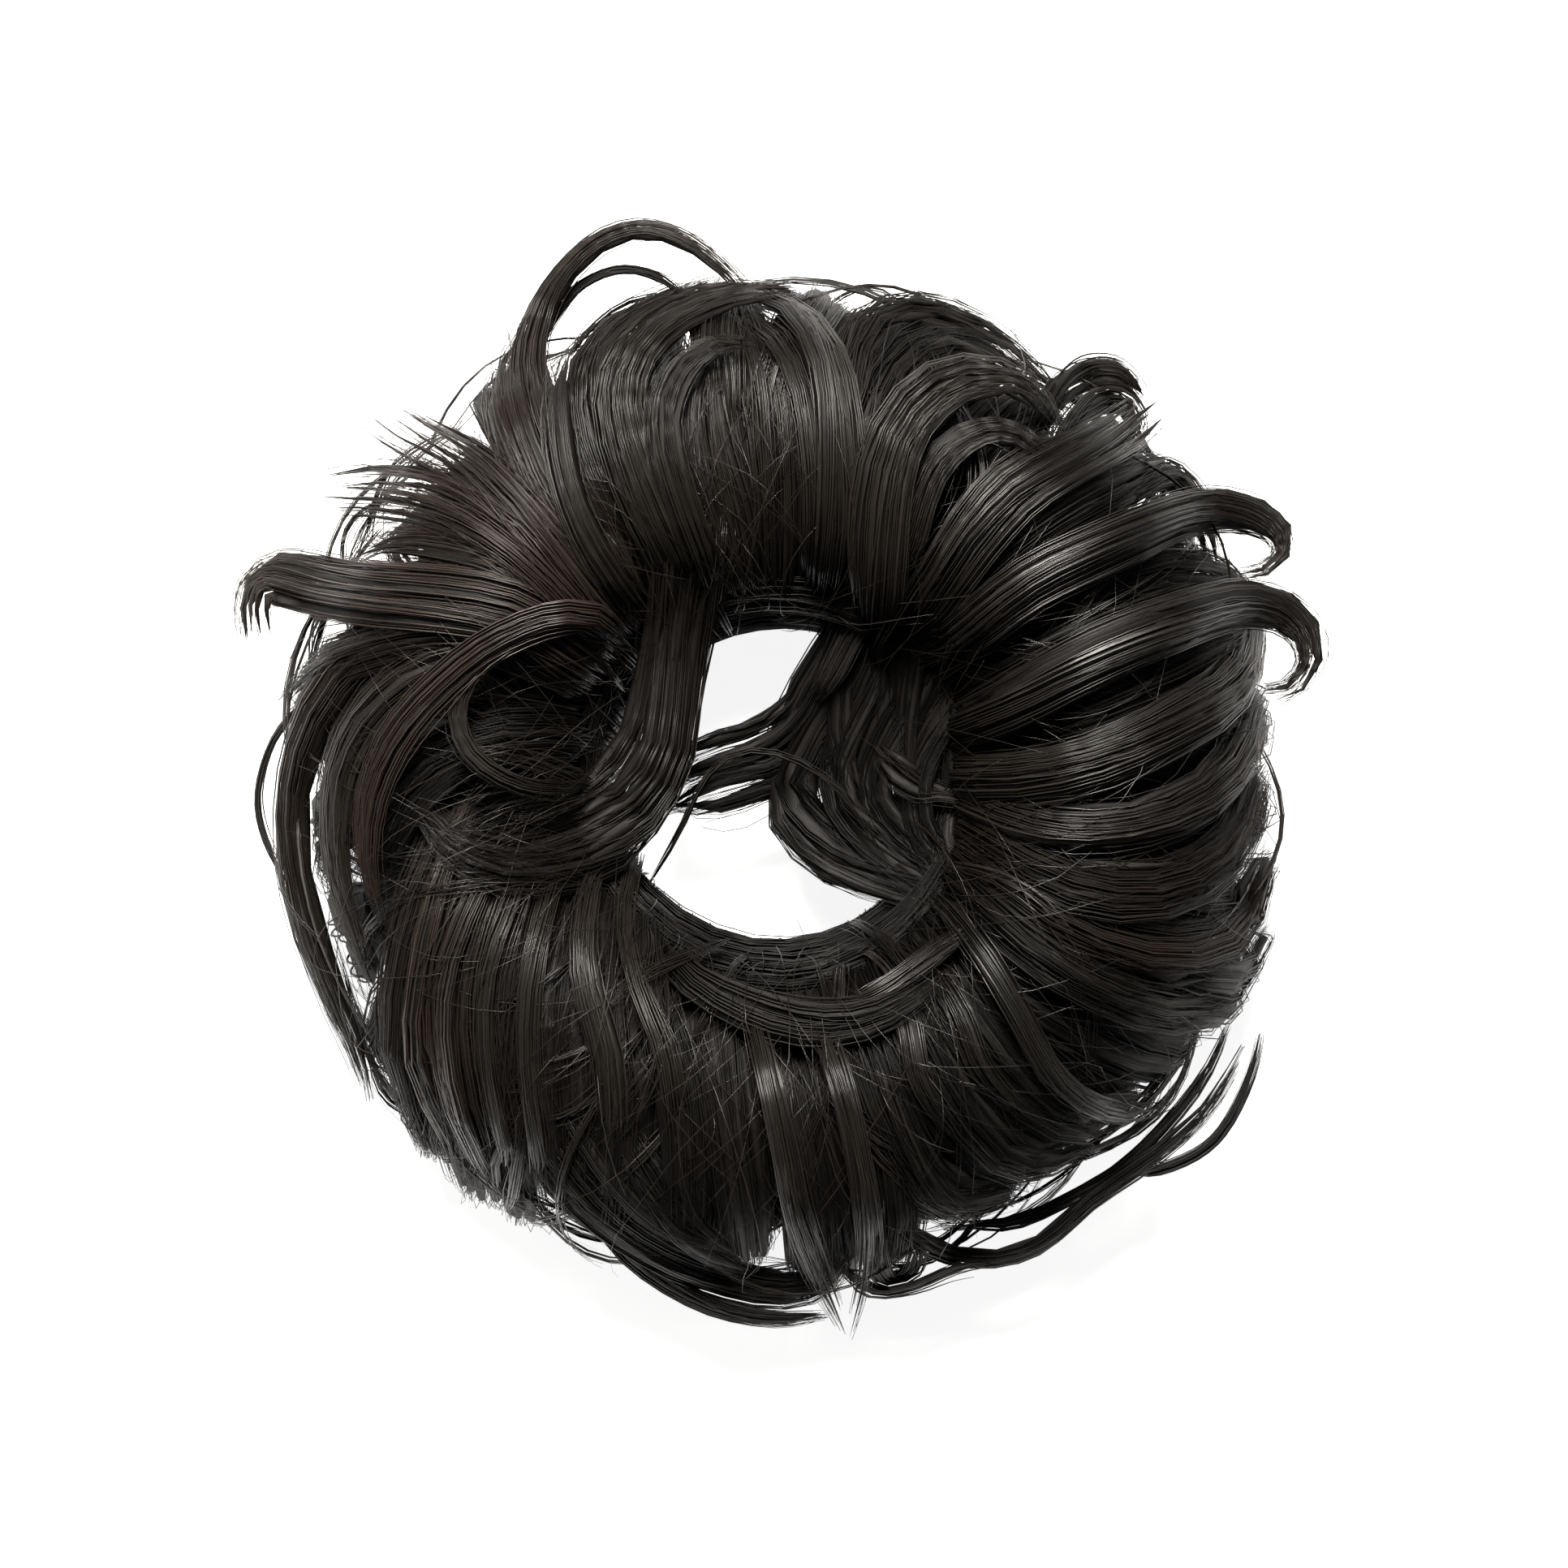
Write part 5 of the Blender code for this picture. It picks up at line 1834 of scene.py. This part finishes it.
    def build(self, shop: Workshop, guides: Iterable[Guide], finish: bpy.types.Material) -> None:
        """Makes the mass as one piece.

        Args:
            shop: Where pieces are made.
            guides: Every wisp that gets a core.
            finish: The mass's material.
        """
        mesh = bmesh.new()
        grain = mesh.verts.layers.float_vector.new("grain")
        self.backing(mesh, grain)
        for number, guide in enumerate(guides):
            self.core(mesh, grain, guide, number)
        bmesh.ops.recalc_face_normals(mesh, faces=mesh.faces)
        data = bpy.data.meshes.new("hair_mass")
        mesh.to_mesh(data)
        mesh.free()
        data.materials.append(finish)
        data.shade_smooth()
        shop.hand_over(added("hair_mass", data), "hair", Node.RING)


# The band


@dataclass
class WoundHair:
    """Hair wound tightly round the band, open towards the middle of the hole."""

    turns: int = 52
    middle: float = 3.95
    thick: float = 1.9
    half_turn: float = 158.0
    advance: float = 13.0
    overlap: float = 1.8
    strands_each: int = 10
    tones: tuple[float, float] = (-0.3, 0.3)
    stations: int = 9
    seed: int = 71
    strands: StrandStyle = StrandStyle(
        width=0.4, fray=0.05, wild=2.0, shortest=1.0, latest=0.0, crossing=0.1, tip=0.8, seed=71
    )

    def build(self, shop: Workshop, finish: bpy.types.Material) -> None:
        """Lays the wound hair.

        Args:
            shop: Where pieces are made.
            finish: The hair's material.
        """
        rng = random.Random(self.seed)
        half_width = math.pi * RING.band_radius / self.turns * self.overlap
        guides = []
        for turn in range(self.turns):
            azimuth = 360.0 * turn / self.turns
            stations = []
            for share in shares(self.stations):
                angle = math.radians(self.half_turn * (2.0 * share - 1.0))
                outward = bearing(azimuth + self.advance * share)
                normal = outward * math.cos(angle)
                normal.z = math.sin(angle)
                point = outward * RING.band_radius + normal * self.middle
                point.z += RING.half_height
                stations.append(Station(point, normal, half_width, self.thick / 2))
            tone = rng.uniform(*self.tones)
            guides.append(Guide(sections_of(stations), self.strands_each, tone=tone))
        piece = shop.grow("wound_hair_strands", guides, self.strands, finish)
        shop.hand_over(piece, "wound_hair", Node.WOUND)


class BraidTree:
    """The Geometry Nodes tree that braids yarns round a cord bent into a ring."""

    CORE_SIDES = 12
    CORE_STEPS = 96
    YARN_SIDES = 3
    WEAVES_PER_YARN = 0.25

    def __init__(self, values: dict[str, float | int]) -> None:
        """Builds the tree, with the first value of each of its inputs."""
        self.maker = GeometryMaker("braided_ring", values)
        self.tree = self.build()

    def build(self) -> bpy.types.NodeTree:
        """Wires the tree.

        Returns:
            The finished tree.
        """
        make = self.maker
        ring_radius = make.given["Ring Radius"]
        circle = make.out("GeometryNodeCurvePrimitiveCircle", make.given["Steps"], ring_radius)
        amount = make.given["Yarns"]
        copies = make.put("GeometryNodeDuplicateElements", circle, None, amount, domain="SPLINE")
        yarns, number = copies.outputs[0], copies.outputs[1]
        azimuth = make.times(make.out("GeometryNodeSplineParameter"), math.tau)
        way = make.math("SUBTRACT", make.times(make.math("MODULO", number, 2.0), 2.0), 1.0)
        phase = make.times(make.math("DIVIDE", number, make.given["Yarns"]), math.tau)
        angle = make.math("ADD", make.times(azimuth, make.given["Turns"], way), phase)
        weaves = make.times(make.given["Yarns"], self.WEAVES_PER_YARN)
        weave = make.math("SINE", make.times(angle, weaves))
        lift = make.times(weave, make.given["Lift"], way)
        radius = make.math("ADD", make.given["Cord Radius"], lift)
        outward = make.times(radius, make.math("COSINE", angle))
        outward = make.math("ADD", outward, ring_radius)
        up = make.times(radius, make.math("SINE", angle))
        x = make.times(outward, make.math("COSINE", azimuth))
        y = make.times(outward, make.math("SINE", azimuth))
        place = make.out("ShaderNodeCombineXYZ", x, y, make.math("ADD", up, make.given["Height"]))
        braided = make.out("GeometryNodeSetPosition", yarns, None, place)
        profile = make.out("GeometryNodeCurvePrimitiveCircle", self.YARN_SIDES, make.given["Yarn Radius"])
        cover = make.out("GeometryNodeCurveToMesh", braided, profile, 1.0, False)
        ring = make.out("GeometryNodeCurvePrimitiveCircle", self.CORE_STEPS, ring_radius)
        lifted = make.put("GeometryNodeSetPosition", ring)
        drop = make.out("ShaderNodeCombineXYZ", 0.0, 0.0, make.given["Height"])
        make.tree.links.new(drop, lifted.inputs["Offset"])
        inner = make.math("SUBTRACT", make.given["Cord Radius"], make.given["Yarn Radius"])
        core_profile = make.out("GeometryNodeCurvePrimitiveCircle", self.CORE_SIDES, 1.0)
        core = make.out("GeometryNodeCurveToMesh", lifted.outputs[0], core_profile, inner, False)
        joined = make.put("GeometryNodeJoinGeometry")
        make.tree.links.new(cover, joined.inputs[0])
        make.tree.links.new(core, joined.inputs[0])
        return make.finish(joined.outputs[0])


@dataclass
class ElasticBand:
    """The round elastic cord with its braided cover."""

    cord_radius: float = 2.15
    yarn_radius: float = 0.3
    yarns: int = 24
    turns: float = 15.0
    steps: int = 190
    lift: float = 0.14

    def build(self, shop: Workshop, finish: bpy.types.Material) -> None:
        """Braids the band.

        Args:
            shop: Where pieces are made.
            finish: The yarn's material.
        """
        source = bpy.data.objects.new("band_start", bpy.data.meshes.new("band_start"))
        values: dict[str, float | int] = {
            "Ring Radius": RING.band_radius * MM,
            "Cord Radius": self.cord_radius * MM,
            "Height": RING.half_height * MM,
            "Yarn Radius": self.yarn_radius * MM,
            "Yarns": self.yarns,
            "Turns": self.turns,
            "Steps": self.steps,
            "Lift": self.lift * MM,
        }
        tree = BraidTree(values).tree
        piece = shop.applied("elastic_braid", source, tree, {**values, "Finish": finish})
        shop.hand_over(piece, "elastic", Node.BAND)


# The studio


@dataclass(frozen=True)
class FloorFinish:
    """Plain white paper."""

    name: str = "white_paper"
    colour: tuple[float, float, float] = (0.9, 0.9, 0.9)
    roughness: float = 0.9
    glow: float = 0.88

    def material(self) -> bpy.types.Material:
        """Builds the material."""
        values: dict[str, Wire] = {
            "Roughness": self.roughness,
            "Specular IOR Level": 0.0,
            "Emission Color": WHITE,
            "Emission Strength": self.glow,
        }
        return ShaderMaker(self.name).finished(self.colour, values)


@dataclass(frozen=True)
class SoftBox:
    """One square area light that looks at the hairpiece."""

    name: str
    place: tuple[float, float, float]
    size: float
    power: float
    colour: tuple[float, float, float] = (1.0, 0.955, 0.90)
    target: tuple[float, float, float] = (0.0, 0.0, 0.03)

    def build(self) -> None:
        """Adds the light."""
        data = bpy.data.lights.new(self.name, "AREA")
        data.color = self.colour
        data.shape = "SQUARE"
        data.size = self.size
        data.energy = self.power
        light = added(self.name, data)
        light.location = self.place
        back = Vector(self.place) - Vector(self.target)
        light.rotation_euler = back.to_track_quat("Z", "Y").to_euler()


@dataclass(frozen=True)
class Studio:
    """The floor, the lights and the camera straight above."""

    floor_half: float = 3.0
    floor_squares: int = 8
    view_width: float = 0.2975
    view_height: float = 0.035
    distance: float = 0.95
    centre: tuple[float, float] = (0.0017, -0.0002)
    sensor: float = 36.0
    world: float = 0.042
    lights: tuple[SoftBox, ...] = (
        SoftBox("key_light", (-0.1, 0.8, 1.25), 0.5, 56.0),
        SoftBox("left_light", (-1.2, 0.5, 0.9), 0.8, 3.0),
        SoftBox("right_light", (1.3, 0.5, 1.0), 0.8, 1.5),
    )

    def build(self) -> None:
        """Sets up the floor, the lights, the world and the camera."""
        mesh = bmesh.new()
        squares = self.floor_squares
        bmesh.ops.create_grid(mesh, x_segments=squares, y_segments=squares, size=self.floor_half)
        data = bpy.data.meshes.new("floor")
        mesh.to_mesh(data)
        mesh.free()
        data.materials.append(FloorFinish().material())
        floor = added("floor", data)
        for light in self.lights:
            light.build()
        world = bpy.data.worlds.new("studio")
        world.use_nodes = True
        background = world.node_tree.nodes["Background"]
        background.inputs["Color"].default_value = WHITE
        background.inputs["Strength"].default_value = self.world
        scene = bpy.context.scene
        scene.world = world
        scene.view_settings.view_transform = "Standard"
        lens = bpy.data.cameras.new("camera")
        lens.sensor_width = self.sensor
        lens.lens = self.sensor * self.distance / self.view_width
        camera = added("camera", lens)
        camera.location = (*self.centre, self.view_height + self.distance)
        scene.camera = camera


def main() -> None:
    """Builds every piece in order."""
    logging.basicConfig(level=logging.INFO, format="%(name)s: %(message)s")
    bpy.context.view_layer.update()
    shop = Workshop()
    hair = HairFinish().material()
    # painted shade: a darker, duller copy of the hair finish for the crown, hidden ribbons and under hair
    dull_and_shaded = HairFinish.in_shade().material()
    guides = CrownHair().build(shop, dull_and_shaded)
    guides += RibbonHair().build(shop, hair, dull_and_shaded)
    guides += UnderHair().build(shop, dull_and_shaded)
    LooseHair().build(shop, hair)
    RimHair().build(shop, hair)
    HairMass().build(shop, guides, MassFinish().material())
    WoundHair().build(shop, HairFinish(name="wound_hair").material())
    ElasticBand().build(shop, YarnFinish().material())
    Studio().build()


if __name__ == "__main__":
    main()
